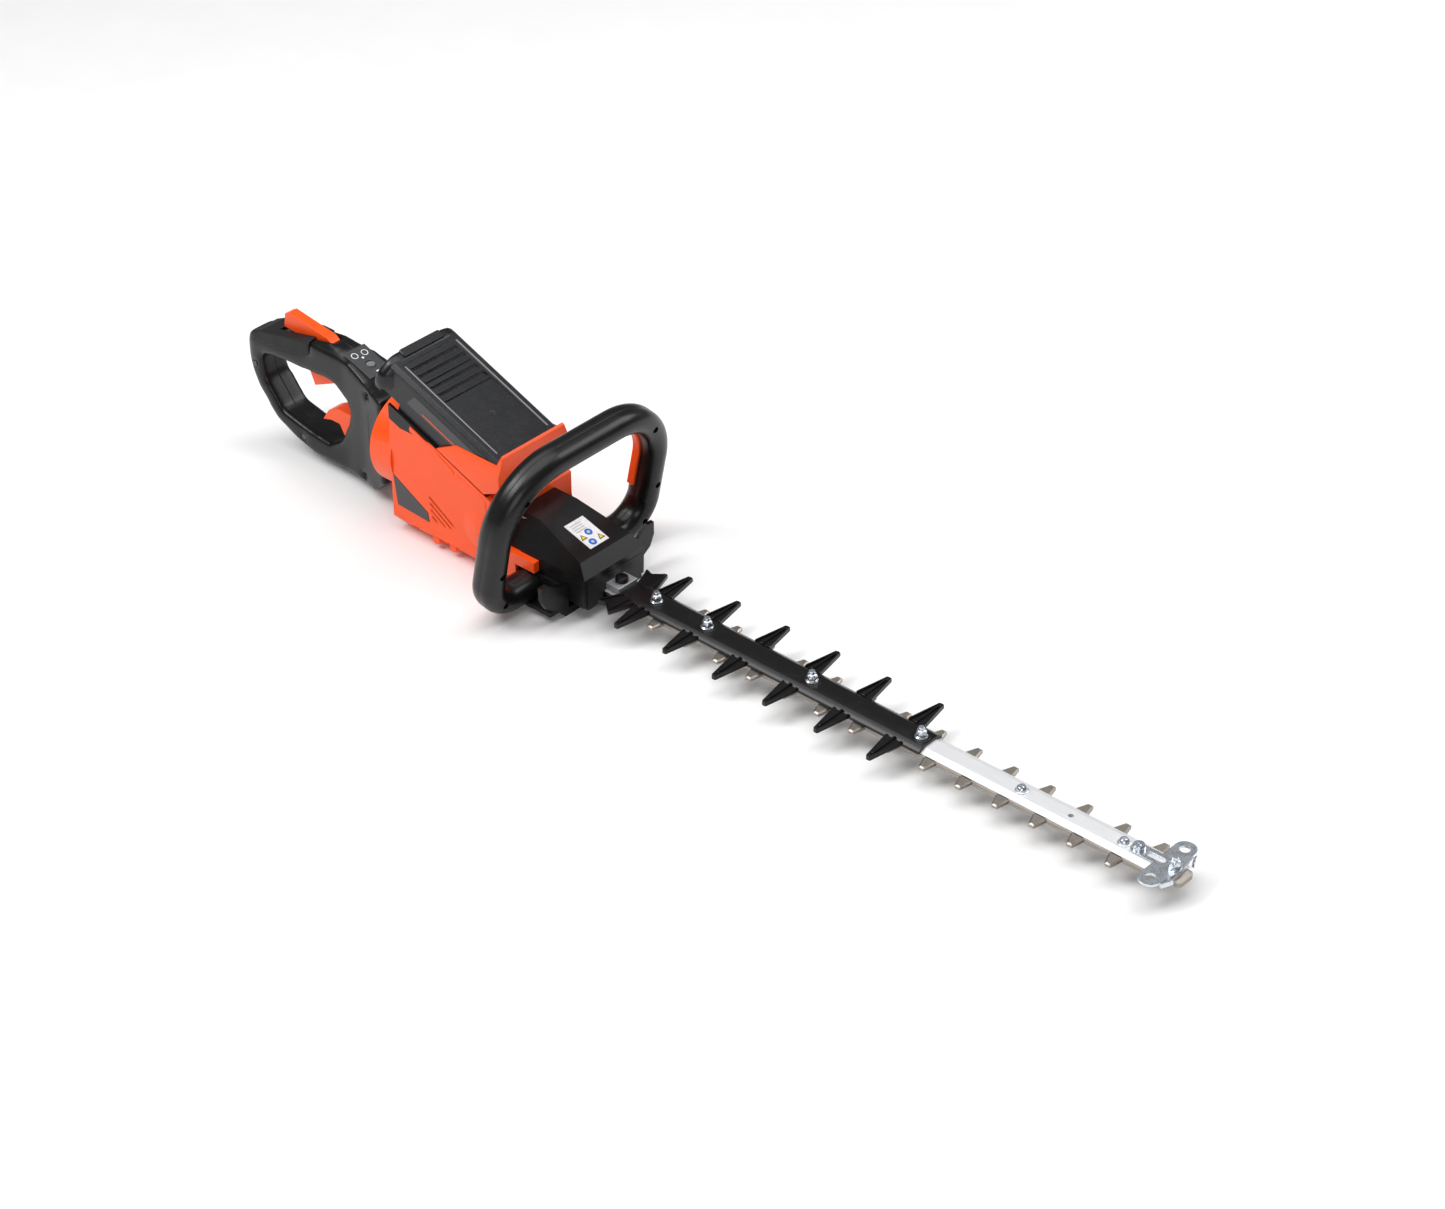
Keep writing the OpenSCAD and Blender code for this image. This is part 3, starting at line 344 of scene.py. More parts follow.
# ---- geometry nodes: one tree for every straight row of like pieces ----

def row_tree():
    """Copies the object's own mesh along a line at a fixed step, then makes it solid geometry."""
    tree = bpy.data.node_groups.new("Row of pieces", "GeometryNodeTree")
    face = tree.interface
    face.new_socket("Piece", in_out="INPUT", socket_type="NodeSocketGeometry")
    face.new_socket("Count", in_out="INPUT", socket_type="NodeSocketInt")
    face.new_socket("Step", in_out="INPUT", socket_type="NodeSocketVector")
    face.new_socket("Finish", in_out="INPUT", socket_type="NodeSocketMaterial")
    face.new_socket("Row", in_out="OUTPUT", socket_type="NodeSocketGeometry")
    into, out = tree.nodes.new("NodeGroupInput"), tree.nodes.new("NodeGroupOutput")
    line = tree.nodes.new("GeometryNodeMeshLine")
    line.mode = "OFFSET"
    copies = tree.nodes.new("GeometryNodeInstanceOnPoints")
    solid = tree.nodes.new("GeometryNodeRealizeInstances")
    paint = tree.nodes.new("GeometryNodeSetMaterial")
    link = tree.links.new
    link(into.outputs["Count"], line.inputs["Count"])
    link(into.outputs["Step"], line.inputs["Offset"])
    link(line.outputs["Mesh"], copies.inputs["Points"])
    link(into.outputs["Piece"], copies.inputs["Instance"])
    link(copies.outputs["Instances"], solid.inputs["Geometry"])
    link(solid.outputs["Geometry"], paint.inputs["Geometry"])
    link(into.outputs["Finish"], paint.inputs["Material"])
    link(paint.outputs["Geometry"], out.inputs["Row"])
    return tree


def in_row(piece, count, step, finish):
    """Repeats a piece in a straight row through the row tree and returns the plain mesh."""
    tree = bpy.data.node_groups.get("Row of pieces") or row_tree()
    sockets = {item.name: item.identifier for item in tree.interface.items_tree if item.in_out == "INPUT"}
    repeat = piece.modifiers.new("row", "NODES")
    repeat.node_group = tree
    repeat[sockets["Count"]] = count
    repeat[sockets["Step"]] = tuple(step * MM)
    repeat[sockets["Finish"]] = finish
    return flattened(piece)


def merged(name, pieces, angle=35.0):
    """Joins several pieces into one mesh."""
    work = bmesh.new()
    for piece in pieces:
        work.from_mesh(piece.data)
        bpy.data.objects.remove(piece)
    mesh = bpy.data.meshes.new(name)
    work.to_mesh(mesh)
    work.free()
    return shaded(new_object(name, mesh), angle)


# ---- finishes ----

class Value:
    """A shader socket that can be written in sums."""

    def __init__(self, shader, socket):
        self.shader, self.socket = shader, socket

    def _math(self, operation, first, second):
        return self.shader.node("ShaderNodeMath", {"operation": operation}, {0: first, 1: second})

    def __add__(self, other):
        return self._math("ADD", self, other)

    def __sub__(self, other):
        return self._math("SUBTRACT", self, other)

    def __rsub__(self, other):
        return self._math("SUBTRACT", other, self)

    def __mul__(self, other):
        return self._math("MULTIPLY", self, other)

    def __gt__(self, other):
        return self._math("GREATER_THAN", self, other)

    __radd__, __rmul__ = __add__, __mul__


class Shader:
    """A material under construction."""

    def __init__(self, name):
        self.material = bpy.data.materials.new(name)
        self.material.use_nodes = True
        self.tree = self.material.node_tree
        self.surface = next(n for n in self.tree.nodes if n.type == "BSDF_PRINCIPLED")
        self.place = self.node("ShaderNodeTexCoord", {}, {}, "Object")

    def node(self, kind, settings, inputs, output=0):
        """Adds any node; settings are made before its sockets are fed."""
        made = self.tree.nodes.new(kind)
        for key, value in settings.items():
            if key == "stops":
                ramp = made.color_ramp
                while len(ramp.elements) < len(value):
                    ramp.elements.new(0.5)
                for element, (position, colour) in zip(ramp.elements, value):
                    element.position = position
                    element.color = (*colour, 1)
            else:
                setattr(made, key, value)
        for key, value in inputs.items():
            if isinstance(value, Value):
                self.tree.links.new(value.socket, made.inputs[key])
            else:
                made.inputs[key].default_value = value
        return Value(self, made.outputs[output])

    def stretched(self, scale, turn=(0, 0, 0)):
        """The object's coordinates, scaled and turned."""
        return self.node("ShaderNodeMapping", {}, {"Vector": self.place, "Scale": scale, "Rotation": turn})

    def noise(self, size, detail=3.0, place=None, roughness=0.55):
        """Noise whose grains are about a size in millimetres."""
        return self.node("ShaderNodeTexNoise", {}, {"Vector": place or self.place, "Scale": 1 / (size * MM),
                                                    "Detail": detail, "Roughness": roughness})

    def mix(self, factor, first, second):
        """Blends two colours."""
        made = self.tree.nodes.new("ShaderNodeMix")
        made.data_type = "RGBA"
        for key, value in ((0, factor), (6, first), (7, second)):
            if isinstance(value, Value):
                self.tree.links.new(value.socket, made.inputs[key])
            else:
                made.inputs[key].default_value = value if key == 0 else (*value, 1)
        return Value(self, made.outputs[2])

    def feed(self, **sockets):
        """Sets or links the surface's sockets; underscores stand for spaces."""
        for key, value in sockets.items():
            socket = self.surface.inputs[key.replace("_", " ")]
            if isinstance(value, Value):
                self.tree.links.new(value.socket, socket)
            else:
                socket.default_value = value

    def patches(self, noise, start, full, share):
        """Where a noise value passes a band, from none to a share."""
        stops = [(start, (0, 0, 0)), (full, (1, 1, 1))]
        band = self.node("ShaderNodeValToRGB", {"stops": stops}, {"Fac": noise})
        return self.node("ShaderNodeMath", {"operation": "MULTIPLY"}, {0: band, 1: share})

    def bump(self, height, strength, depth):
        """Surface relief from a height value, a depth in millimetres."""
        self.feed(Normal=self.node("ShaderNodeBump", {}, {"Height": height, "Strength": strength,
                                                          "Distance": depth * MM}))


def scaled(colour, factor):
    """A colour made lighter or darker."""
    return tuple(min(1.0, c * factor) for c in colour)


def plastic(name, colour, rough, grain=0.35, relief=0.04, coat=0.0, dust=0.008, shine=0.5):
    """Injection-moulded plastic: spark-eroded grain, faint flow marks, handling polish and a little dust."""
    s = Shader(name)
    fine = s.noise(grain, 2.0)
    broad = s.noise(26.0, 3.0)
    smudge = s.noise(9.0, 4.0)
    tone = s.mix(broad, scaled(colour, 0.9), scaled(colour, 1.1))
    s.feed(Base_Color=s.mix(s.patches(smudge, 0.55, 0.8, dust), tone, DUST_COLOUR))
    s.feed(Roughness=rough + (smudge - 0.5) * 0.12 + (fine - 0.5) * 0.06, Specular_IOR_Level=shine)
    if coat:
        s.feed(Coat_Weight=coat, Coat_Roughness=0.25)
    s.bump(fine, 0.35, relief)
    return s.material


def rubber(name, colour):
    """Soft overmould: matt, with a fine leather-like pebble."""
    s = Shader(name)
    pebble = s.node("ShaderNodeTexVoronoi", {"feature": "SMOOTH_F1"},
                    {"Vector": s.place, "Scale": 1 / (PEBBLE * MM)})
    wear = s.noise(14.0, 4.0)
    s.feed(Base_Color=s.mix(wear, scaled(colour, 0.8), scaled(colour, 1.35)))
    s.feed(Roughness=0.5 + wear * 0.25, Specular_IOR_Level=0.4)
    s.bump(pebble, 0.4, 0.08)
    return s.material


def metal(name, colour, rough, stretch, grain, relief=0.02, tint=None, stain=0.0, bare=1.0):
    """Bare or plated metal with its working marks drawn out along one direction."""
    s = Shader(name)
    marks = s.noise(grain, 4.0, s.stretched(stretch))
    cloud = s.noise(7.0, 3.0)
    tone = s.mix(marks, scaled(colour, 0.9), scaled(colour, 1.06))
    if tint:
        tone = s.mix(s.patches(cloud, 0.4, 0.62, 0.55), tone, tint)
    if stain:
        tone = s.mix(s.patches(s.noise(3.2, 5.0), 0.6, 0.75, stain), tone, STAIN_COLOUR)
    s.feed(Base_Color=tone, Metallic=bare)
    s.feed(Roughness=rough + (marks - 0.5) * 0.12 + (cloud - 0.5) * 0.1)
    s.bump(marks, 0.25, relief)
    return s.material


def coated(name, colour, rough, size, relief):
    """Small inner parts: enamel, board lacquer, sleeves and gasket rubber."""
    s = Shader(name)
    spots = s.noise(size, 3.0)
    s.feed(Base_Color=s.mix(spots, scaled(colour, 0.75), scaled(colour, 1.2)))
    s.feed(Roughness=rough + (spots - 0.5) * 0.2)
    s.bump(spots, 0.3, relief)
    return s.material


FINISH = {}


def make_finishes(look):
    """Every finish of the trimmer, by the record's material slot."""
    orange, black = tuple(look.orange), tuple(look.black)
    FINISH.update({
        "orange_plastic": plastic("orange moulding", orange, 0.33, 0.5, 0.02, coat=0.06, dust=0.01,
                                  shine=0.4),
        "black_plastic": plastic("black moulding", black, 0.3, 0.4, 0.006, shine=0.34),
        "grip_rubber": rubber("soft grip", scaled(black, 1.25)),
        "battery_plastic": plastic("battery shell", (0.006, 0.0065, 0.009), 0.27, 0.45, 0.006, shine=0.38),
        "black_cast": plastic("black painted casting", scaled(black, 1.3), 0.42, 0.8, 0.02, shine=0.4),
        "badge_grey": plastic("dark grey insert", (0.03, 0.031, 0.035), 0.32, 0.3, 0.03, coat=0.1),
        "label_white": coated("label film", (0.82, 0.83, 0.84), 0.32, 3.0, 0.01),
        "aluminium_bar": metal("extruded bar", (0.78, 0.785, 0.8), 0.42, (0.03, 1, 1), 0.5, 0.006, bare=0.45),
        "cast_aluminium": metal("cast case", (0.55, 0.56, 0.58), 0.5, (1, 1, 1), 0.6, 0.15),
        "blade_steel": metal("hardened blade steel", (0.36, 0.325, 0.29), 0.4, (1, 0.06, 1), 0.35, 0.03,
                             stain=0.5),
        "zinc_steel": metal("zinc plating", (0.66, 0.7, 0.75), 0.28, (1, 1, 1), 0.8, 0.02,
                            tint=(0.74, 0.8, 0.88)),
        "dark_steel": metal("blackened steel", (0.12, 0.12, 0.13), 0.42, (1, 1, 1), 0.5, 0.03),
        "motor_steel": metal("ground steel", (0.6, 0.61, 0.63), 0.3, (1, 1, 0.05), 0.4, 0.02),
        "copper_wind": coated("enamelled windings", (0.45, 0.16, 0.05), 0.35, 0.8, 0.2),
        "board_green": coated("board lacquer", (0.02, 0.14, 0.05), 0.35, 2.0, 0.05),
        "wire_red": coated("wire sleeve", (0.4, 0.02, 0.015), 0.45, 1.0, 0.02),
        "cell_blue": coated("cell sleeve", (0.03, 0.12, 0.3), 0.35, 6.0, 0.02),
        "contact_brass": metal("contact brass", (0.8, 0.6, 0.22), 0.3, (1, 1, 1), 0.5, 0.01),
        "switch_grey": coated("switch body", (0.06, 0.06, 0.065), 0.5, 0.8, 0.04),
        "button_grey": rubber("button cap", (0.16, 0.16, 0.17)),
    })
    for node, slot in SLOT_OF.items():
        for held in frame["nodes"][node].material_slots:
            held.material = FINISH[slot]


# ---- sizes and colours a user would change ----

def colour_setting(name, says, default):
    """A colour that a user can change."""
    return bpy.props.FloatVectorProperty(name=name, description=says, default=default, subtype="COLOR", size=3,
                                         min=0, max=1)


def length_setting(name, says, default, **limits):
    """A length in millimetres that a user can change."""
    return bpy.props.FloatProperty(name=name, description=says + ", mm", default=default, **limits)


def count_setting(name, says, default, **limits):
    """A whole number that a user can change."""
    return bpy.props.IntProperty(name=name, description=says, default=default, **limits)


class TrimmerLook(bpy.types.PropertyGroup):
    """Colours and edge softness of the whole tool."""
    orange: colour_setting("Orange", "Colour of the housing and the levers", (0.97, 0.085, 0.006))
    black: colour_setting("Black", "Colour of the handles and covers", (0.0045, 0.0045, 0.005))
    shell_edge: length_setting("Shell edge", "Radius of the housing's edges", 2.4, min=0.5, max=4.0)
    lever_edge: length_setting("Lever edge", "Radius of the levers' edges", 1.5, min=0.4, max=2.5)
    skin_voxel: length_setting("Handle detail", "Mesh size of the moulded handle", 1.3, min=0.8, max=2.0)
    skin_rounds: count_setting("Handle softness", "Smoothing passes over the handle", 75, min=0, max=120)


class TrimmerCutter(bpy.types.PropertyGroup):
    """Sizes of the teeth and spines."""
    pitch: length_setting("Tooth pitch", "Distance between teeth", 35.0, min=20, max=50)
    teeth: count_setting("Teeth", "Teeth on one side", 14, min=4, max=20)
    first_right: length_setting("First tooth, right", "Place along the bar", 15.0)
    first_left: length_setting("First tooth, left", "Place along the bar", 34.0)
    ground: length_setting("Ground edge", "Width of the ground bevel on a tooth", 1.2, min=0.2, max=2.0)
    spine_pairs: count_setting("Spine pairs", "Pairs of sweeper spines", 6, min=1, max=10)
    spine_pitch: length_setting("Spine pitch", "Distance between spine pairs", 52.5, min=30, max=80)


# ---- housing, battery and covers ----

class TRIMMER_OT_finishes(bpy.types.Operator):
    """Makes every finish and gives it to the CAD pieces"""
    bl_idname = "trimmer.finishes"
    bl_label = "Finishes"

    def execute(self, context):
        make_finishes(context.scene.trimmer_look)
        return {"FINISHED"}


class TRIMMER_OT_housing(bpy.types.Operator):
    """Moulded housing halves, strap, badge inserts and the bulges over the loop's feet"""
    bl_idname = "trimmer.housing"
    bl_label = "Housing"

    def execute(self, context):
        look = context.scene.trimmer_look
        vents = (-222, 1, -186, 31)
        eased("housing_right", look.shell_edge, crisp=vents)
        eased("housing_left", look.shell_edge, crisp=vents)
        eased("battery_strap", look.shell_edge)
        eased("battery_cradle", 0.8)
        eased("badges", 0.5)
        half_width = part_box("battery_cradle")[1][1] / MM + CRADLE_INSET
        work = bmesh.new()
        for side in (-1, 1):
            self.bulge(work, side, half_width)
            self.ribs(work, side, half_width)
            self.feet(work, side, half_width)
        finish_piece(from_bmesh("housing_bulges", work), "body", "orange_plastic")
        return {"FINISHED"}

    def bulge(self, work, side, half_width):
        """Smooth swelling of the side around the motor, fading into the flat wall."""
        steps, reach, rise = 12, 27.0, 3.4
        profile = [(reach * k / steps, rise * (0.5 + 0.5 * math.cos(math.pi * k / steps)) - 0.25)
                   for k in range(steps, -1, -1)]
        add_lathe(work, profile, placed(at(-159, side * half_width, 19), -side * ALONG, UP), 72)

    def feet(self, work, side, half_width):
        """Two small round bosses along the lower edge."""
        for x, z in ((-214, -15.5), (-194, -14.5)):
            add_lathe(work, [(0, 0), (4.4, 0), (4.6, 0.4), (4.6, 9.2), (4.0, 10.0), (0, 10.0)],
                      placed(at(x, side * (half_width - 11.5), z), -side * ALONG, UP), 36)

    def ribs(self, work, side, half_width):
        """Raised lips along the battery bay and down the front of the side."""
        matrix = placed(at(0, side * (half_width - 0.6), 0), -side * ALONG, UP)
        for points in (((-237, 88), (-213, 78), (-186, 64.5), (-185.5, 60.5), (-214, 74), (-237.5, 84)),
                       ((-184, 63.5), (-150, 52), (-149, 40), (-153, 38), (-154, 49), (-184, 59.5))):
            outline = rounded_outline([(-side * x, z) for x, z in points], 1.6)
            add_prism(work, outline[::side], 0, 1.5, matrix, inset=0.9)


class TRIMMER_OT_battery(bpy.types.Operator):
    """Battery shell, its ribbed top, side strips and rear block"""
    bl_idname = "trimmer.battery"
    bl_label = "Battery"
    corner = (-266.0, 139.7)
    tilt = 21.5
    half_width = 38.0

    def execute(self, context):
        eased("battery_case", 1.6)
        eased("battery_lid", 1.3)
        eased("battery_latch", 0.8)
        matrix, down = sloping(*self.corner, math.radians(self.tilt))
        work = bmesh.new()
        self.top(work, matrix)
        finish_piece(from_bmesh("battery_top_detail", work, 30), "battery", "battery_plastic")
        strip = bmesh.new()
        line = bmesh.new()
        for side in (-1, 1):
            face = placed(matrix @ Vector((0, side * self.half_width, 0)), -side * down, down.cross(ACROSS))
            sign = -side
            outline = [(sign * x, y) for x, y in ((34, -22), (118, -22), (124, -9), (40, -9))]
            add_prism(strip, rounded_outline(outline, 2.0), -0.3, 0.35, face, inset=0.2)
            thin = [(sign * x, y) for x, y in ((52, -19.6), (112, -19.6), (112.5, -18.8), (52.5, -18.8))]
            add_prism(line, thin, 0.2, 0.48, face)
        self.end_rim(matrix)
        # painted highlight: light grey lines along the battery's top edges
        self.painted_highlight_lines(matrix)
        finish_piece(from_bmesh("battery_side_strips", strip, 30), "battery", "badge_grey")
        finish_piece(from_bmesh("battery_side_lines", line, 30), "battery", "orange_plastic")
        return {"FINISHED"}

    def painted_highlight_lines(self, matrix):
        """Raised bead along both top edges, in a lighter grey than the shell: the grey is a painted highlight
        line on the black pack.
        """
        work = bmesh.new()
        for side in (-1, 1):
            edge = rounded_outline(rectangle(16, side * 29.5 - 0.6, 128, side * 29.5 + 0.6), 0.3)
            add_prism(work, edge, -1.2, 0.4, matrix, inset=0.35)
        # the bead's grey and gloss are a painted highlight, not the shell's own colour
        finish_piece(from_bmesh("battery_painted_highlight_lines", work, 30), "battery", "battery_plastic",
                     plastic("painted highlight bead", (0.2, 0.2, 0.22), 0.25, shine=0.7))

    def end_rim(self, matrix):
        """Flared rim around the pack's rear end, thicker at its lower corners."""
        half = [(44.0, -27.0), (45.6, -20.0), (44.5, -11.0), (36.0, -1.6), (30.0, 0.4)]
        ring = rounded_outline(half + [(-y, z) for y, z in reversed(half)], 3.0, 6)
        middle = -15.0
        stages = ((0.93, 0.4), (0.975, 1.2), (1.0, 3.0), (1.0, 8.0), (0.97, 10.5), (0.9, 13.5), (0.84, 17.0))
        work = bmesh.new()
        add_loft(work, [[(x, y * scale, middle + (z - middle) * scale) for y, z in ring]
                        for scale, x in stages], matrix)
        finish_piece(from_bmesh("battery_end_rim", work, 35), "battery", "battery_plastic")

    def top(self, work, matrix):
        """Raised rear block, a rib beside each groove and a moulding pip."""
        block = rounded_outline(rectangle(0.5, -23, 9, 23), 1.6)
        add_prism(work, block, -10, 2.2, matrix, inset=0.8)
        for x in (20, 29, 38, 44, 53, 62):
            rib = rounded_outline(rectangle(x - 0.9, -26, x + 0.9, 26), 0.5)
            add_prism(work, rib, -1.2, 0.6, matrix, inset=0.4)
        pip = [(2.6, -1.2), (2.6, -0.6), (2.1, -0.45), (1.2, -0.7), (0, -0.7)]
        add_lathe(work, pip, matrix @ Matrix.Translation((92, 0, 0)), 24)


class TRIMMER_OT_covers(bpy.types.Operator):
    """Gear cover with its picture label, hand guard, gear case and bracket"""
    bl_idname = "trimmer.covers"
    bl_label = "Covers"

    def execute(self, context):
        eased("front_cover", 2.6)
        eased("hand_guard", 1.3)
        eased("gear_case", 0.8)
        eased("bottom_plate", 0.6)
        eased("bar_bracket", 0.8)
        eased("cover_label", 0.15)
        matrix = sloping(-108, 42, math.atan2(15.5, 52))[0]
        top = 0.3
        blue, yellow, dark, grey = bmesh.new(), bmesh.new(), bmesh.new(), bmesh.new()
        for x, y in ((33.0, 1.6), (43.0, -3.4)):
            centre = matrix @ Matrix.Translation((x, y, 0))
            add_lathe(blue, [(3.5, top - 0.1), (3.5, top + 0.08), (0, top + 0.08)], centre)
            add_lathe(grey, [(1.5, top), (1.5, top + 0.14), (0, top + 0.14)], centre, 20)
        for x, y in ((35.0, -7.0), (42.0, 6.6)):
            wide = [(x + 2.8, y - 3.4), (x + 2.8, y + 3.4), (x - 3.2, y)]
            small = [(x + 1.9, y - 2.1), (x + 1.9, y + 2.1), (x - 1.8, y)]
            add_prism(dark, wide, top - 0.1, top + 0.06, matrix)
            add_prism(yellow, small, top - 0.1, top + 0.12, matrix)
        for k in range(4):
            bar = rectangle(20 + 2.6 * k, -8, 21.4 + 2.6 * k, 4)
            add_prism(grey, bar, top - 0.1, top + 0.06, matrix)
        for name, work, colour in (("blue", blue, (0.01, 0.13, 0.6)), ("yellow", yellow, (0.9, 0.62, 0.02)),
                                   ("dark", dark, (0.02, 0.02, 0.02)), ("grey", grey, (0.55, 0.56, 0.58))):
            finish_piece(from_bmesh("label_" + name, work, 30), "body", "label_white",
                         coated("label ink " + name, colour, 0.35, 2.0, 0.005))
        self.knob()
        return {"FINISHED"}

    def knob(self):
        """Round black knob over the bracket at the blades' root."""
        work = bmesh.new()
        low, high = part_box("bracket_bolts")
        middle = Vector(((low[0] + high[0]) / 2, 0, high[2]))
        profile = [(0, -3.4), (4.9, -3.4), (5.6, -2.6), (5.6, 0.2), (5.0, 1.2), (3.4, 1.7), (2.2, 1.7),
                   (2.0, 0.9), (0, 0.9)]
        add_lathe(work, profile, placed(middle, ALONG, ACROSS), 40)
        finish_piece(from_bmesh("bracket_knob", work), "body", "black_plastic")


# ---- handles ----

class TRIMMER_OT_rear_handle(bpy.types.Operator):
    """Two-shell rear handle with its soft grip and picture panel"""
    bl_idname = "trimmer.rear_handle"
    bl_label = "Rear handle"

    def execute(self, context):
        look = context.scene.trimmer_look
        moulded_pair("rear_handle_shells", ["rear_handle_right", "rear_handle_left"], look.skin_voxel,
                     look.skin_rounds)
        self.cheeks()
        remoulded("grip_cover", 0.7, 14)
        eased("handle_panel", 0.5)
        matrix = sloping(-348, 101, math.atan2(13, 36))[0]
        work = bmesh.new()
        ring = [(3.2, 0.5), (3.2, 0.78), (2.6, 0.78), (2.6, 0.5), (3.2, 0.5)]
        for x, y in ((9, -5.5), (10, 5)):
            add_lathe(work, ring, matrix @ Matrix.Translation((x, y, 0)), 36)
        arrow = [(31.5, -1.6), (34.5, 0), (31.5, 1.6)]
        add_prism(work, arrow, 0.4, 0.75, matrix)
        finish_piece(from_bmesh("panel_marks", work, 30), "rear_handle", "label_white")
        lamp = bmesh.new()
        add_lathe(lamp, [(1.1, 0.4), (1.1, 0.8), (0.7, 1.0), (0, 1.05)],
                  matrix @ Matrix.Translation((14, -0.5, 0)), 20)
        finish_piece(from_bmesh("panel_lamp", lamp), "rear_handle", "label_white")
        return {"FINISHED"}

    def cheeks(self):
        """Inset plates that close the windows in the handle's neck, one on each side."""
        work = bmesh.new()
        whole = Matrix.Translation(at(0, 0, 0)) @ Matrix.Scale(MM, 4)
        for side in (-1, 1):
            outline = [(-316, side * 17.2), (-287, side * 26.2), (-287, side * 29.1), (-316, side * 20.2)]
            add_prism(work, outline[::side], SWIVEL_HEIGHT - CHEEK_HALF,
                      SWIVEL_HEIGHT + CHEEK_HALF, whole)
        finish_piece(from_bmesh("rear_handle_cheeks", work, 30), "rear_handle", "black_plastic")


class TRIMMER_OT_levers(bpy.types.Operator):
    """Trigger, lock-out lever, swivel release and power button"""
    bl_idname = "trimmer.levers"
    bl_label = "Levers"

    def execute(self, context):
        look = context.scene.trimmer_look
        eased("trigger", look.lever_edge)
        eased("release_lever", look.lever_edge)
        eased("lockout_lever", look.lever_edge * 0.6)
        eased("power_button", 0.8)
        return {"FINISHED"}


class TRIMMER_OT_front_handle(bpy.types.Operator):
    """Loop handle halves with their parting groove, screws and switch strip"""
    bl_idname = "trimmer.front_handle"
    bl_label = "Front handle"

    def execute(self, context):
        eased("front_handle_front", 0.6, 2, 34)
        eased("front_handle_rear", 0.6, 2, 34)
        eased("switch_bar", 0.9)
        eased("front_handle_screws", 0.4)
        return {"FINISHED"}


# ---- cutter ----

def tooth_mesh(name, side, low, high, ground, face_up):
    """One tooth from inside the strip to its tip, with its flanks and tip ground back on one face."""
    reach, root = 24.5, 11.6
    foot_back, tip_back, tip_front, foot_front = -7.6, -2.9, 2.3, 4.9
    outline = rounded_outline([(tip_back, side * reach), (tip_front, side * reach),
                               (foot_front, side * root), (foot_back, side * root)], 0.8, 4)
    inner = rounded_outline([(tip_back + ground * 0.75, side * (reach - ground)),
                             (tip_front - ground * 0.75, side * (reach - ground)),
                             (foot_front - ground, side * root), (foot_back + ground, side * root)], 0.6, 4)
    if side < 0:
        outline, inner = outline[::-1], inner[::-1]
    work = bmesh.new()
    step = (high - low) * 0.45
    if face_up:
        levels = [(outline, low), (outline, high - step), (inner, high)]
    else:
        levels = [(inner, low), (outline, low + step), (outline, high)]
    add_loft(work, [[(x, y, z) for x, y in ring] for ring, z in levels], Matrix.Scale(MM, 4))
    return from_bmesh(name, work, 25)


class TRIMMER_OT_blades(bpy.types.Operator):
    """Two reciprocating blades: slotted strips with ground teeth along both sides"""
    bl_idname = "trimmer.blades"
    bl_label = "Blades"

    def execute(self, context):
        cutter = context.scene.trimmer_cutter
        for node, face_up in (("upper_blade", True), ("lower_blade", False)):
            low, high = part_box(node)
            level = at(0, 0, 0)
            foot, head = (low[2] - level.z) / MM, (high[2] - level.z) / MM
            parts = [self.strip(node, foot, head)]
            for side, first in ((-1, cutter.first_right), (1, cutter.first_left)):
                tooth = tooth_mesh(node + "_tooth", side, foot, head, cutter.ground, face_up)
                tooth.data.transform(Matrix.Translation(at(first, 0, 0)))
                parts.append(in_row(tooth, cutter.teeth, ALONG * cutter.pitch, FINISH["blade_steel"]))
            stand_in(merged(node + "_ground", parts, 25), [node])
        return {"FINISHED"}

    def strip(self, node, foot, head):
        """The blade's body: yoke, neck and slotted strip."""
        crank, long_half, wide_half, rim = -97.0, 30.0, 21.25, 4.5
        neck, wide, corner = 10.5, 12.8, 5.0
        x0, x1, y1 = crank - long_half - rim, crank + long_half + rim, wide_half + rim
        end = (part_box(node)[1][0] / MM) - DATUM_X
        tip = [(end - 4 + 4 * math.sin(math.radians(22.5 * k)), 5.5 + 4 * math.cos(math.radians(22.5 * k)))
               for k in range(5)]
        half = [(x0, y1 - corner), (x0 + corner, y1), (x1 - corner, y1), (x1, y1 - corner), (x1, neck),
                (-30, neck), (-26, wide), (492, wide)] + tip
        outline = half + [(x, -y) for x, y in reversed(half)]
        holes = [rectangle(crank - long_half, -wide_half, crank + long_half, wide_half)]
        slot_half, slot_r = 8.85, 3.8
        for x in SWEEPER_NUTS + BAR_SCREWS:
            slot = []
            for centre, start in ((x + slot_half, -90), (x - slot_half, 90)):
                turns = [math.radians(start + 20 * k) for k in range(10)]
                slot.extend((centre + slot_r * math.cos(a), slot_r * math.sin(a)) for a in turns)
            holes.append(slot)
        return plate(node + "_strip", [outline] + holes, foot, head, 0.12,
                     Matrix.Translation(at(0, 0, 0)) @ Matrix.Scale(MM, 4))


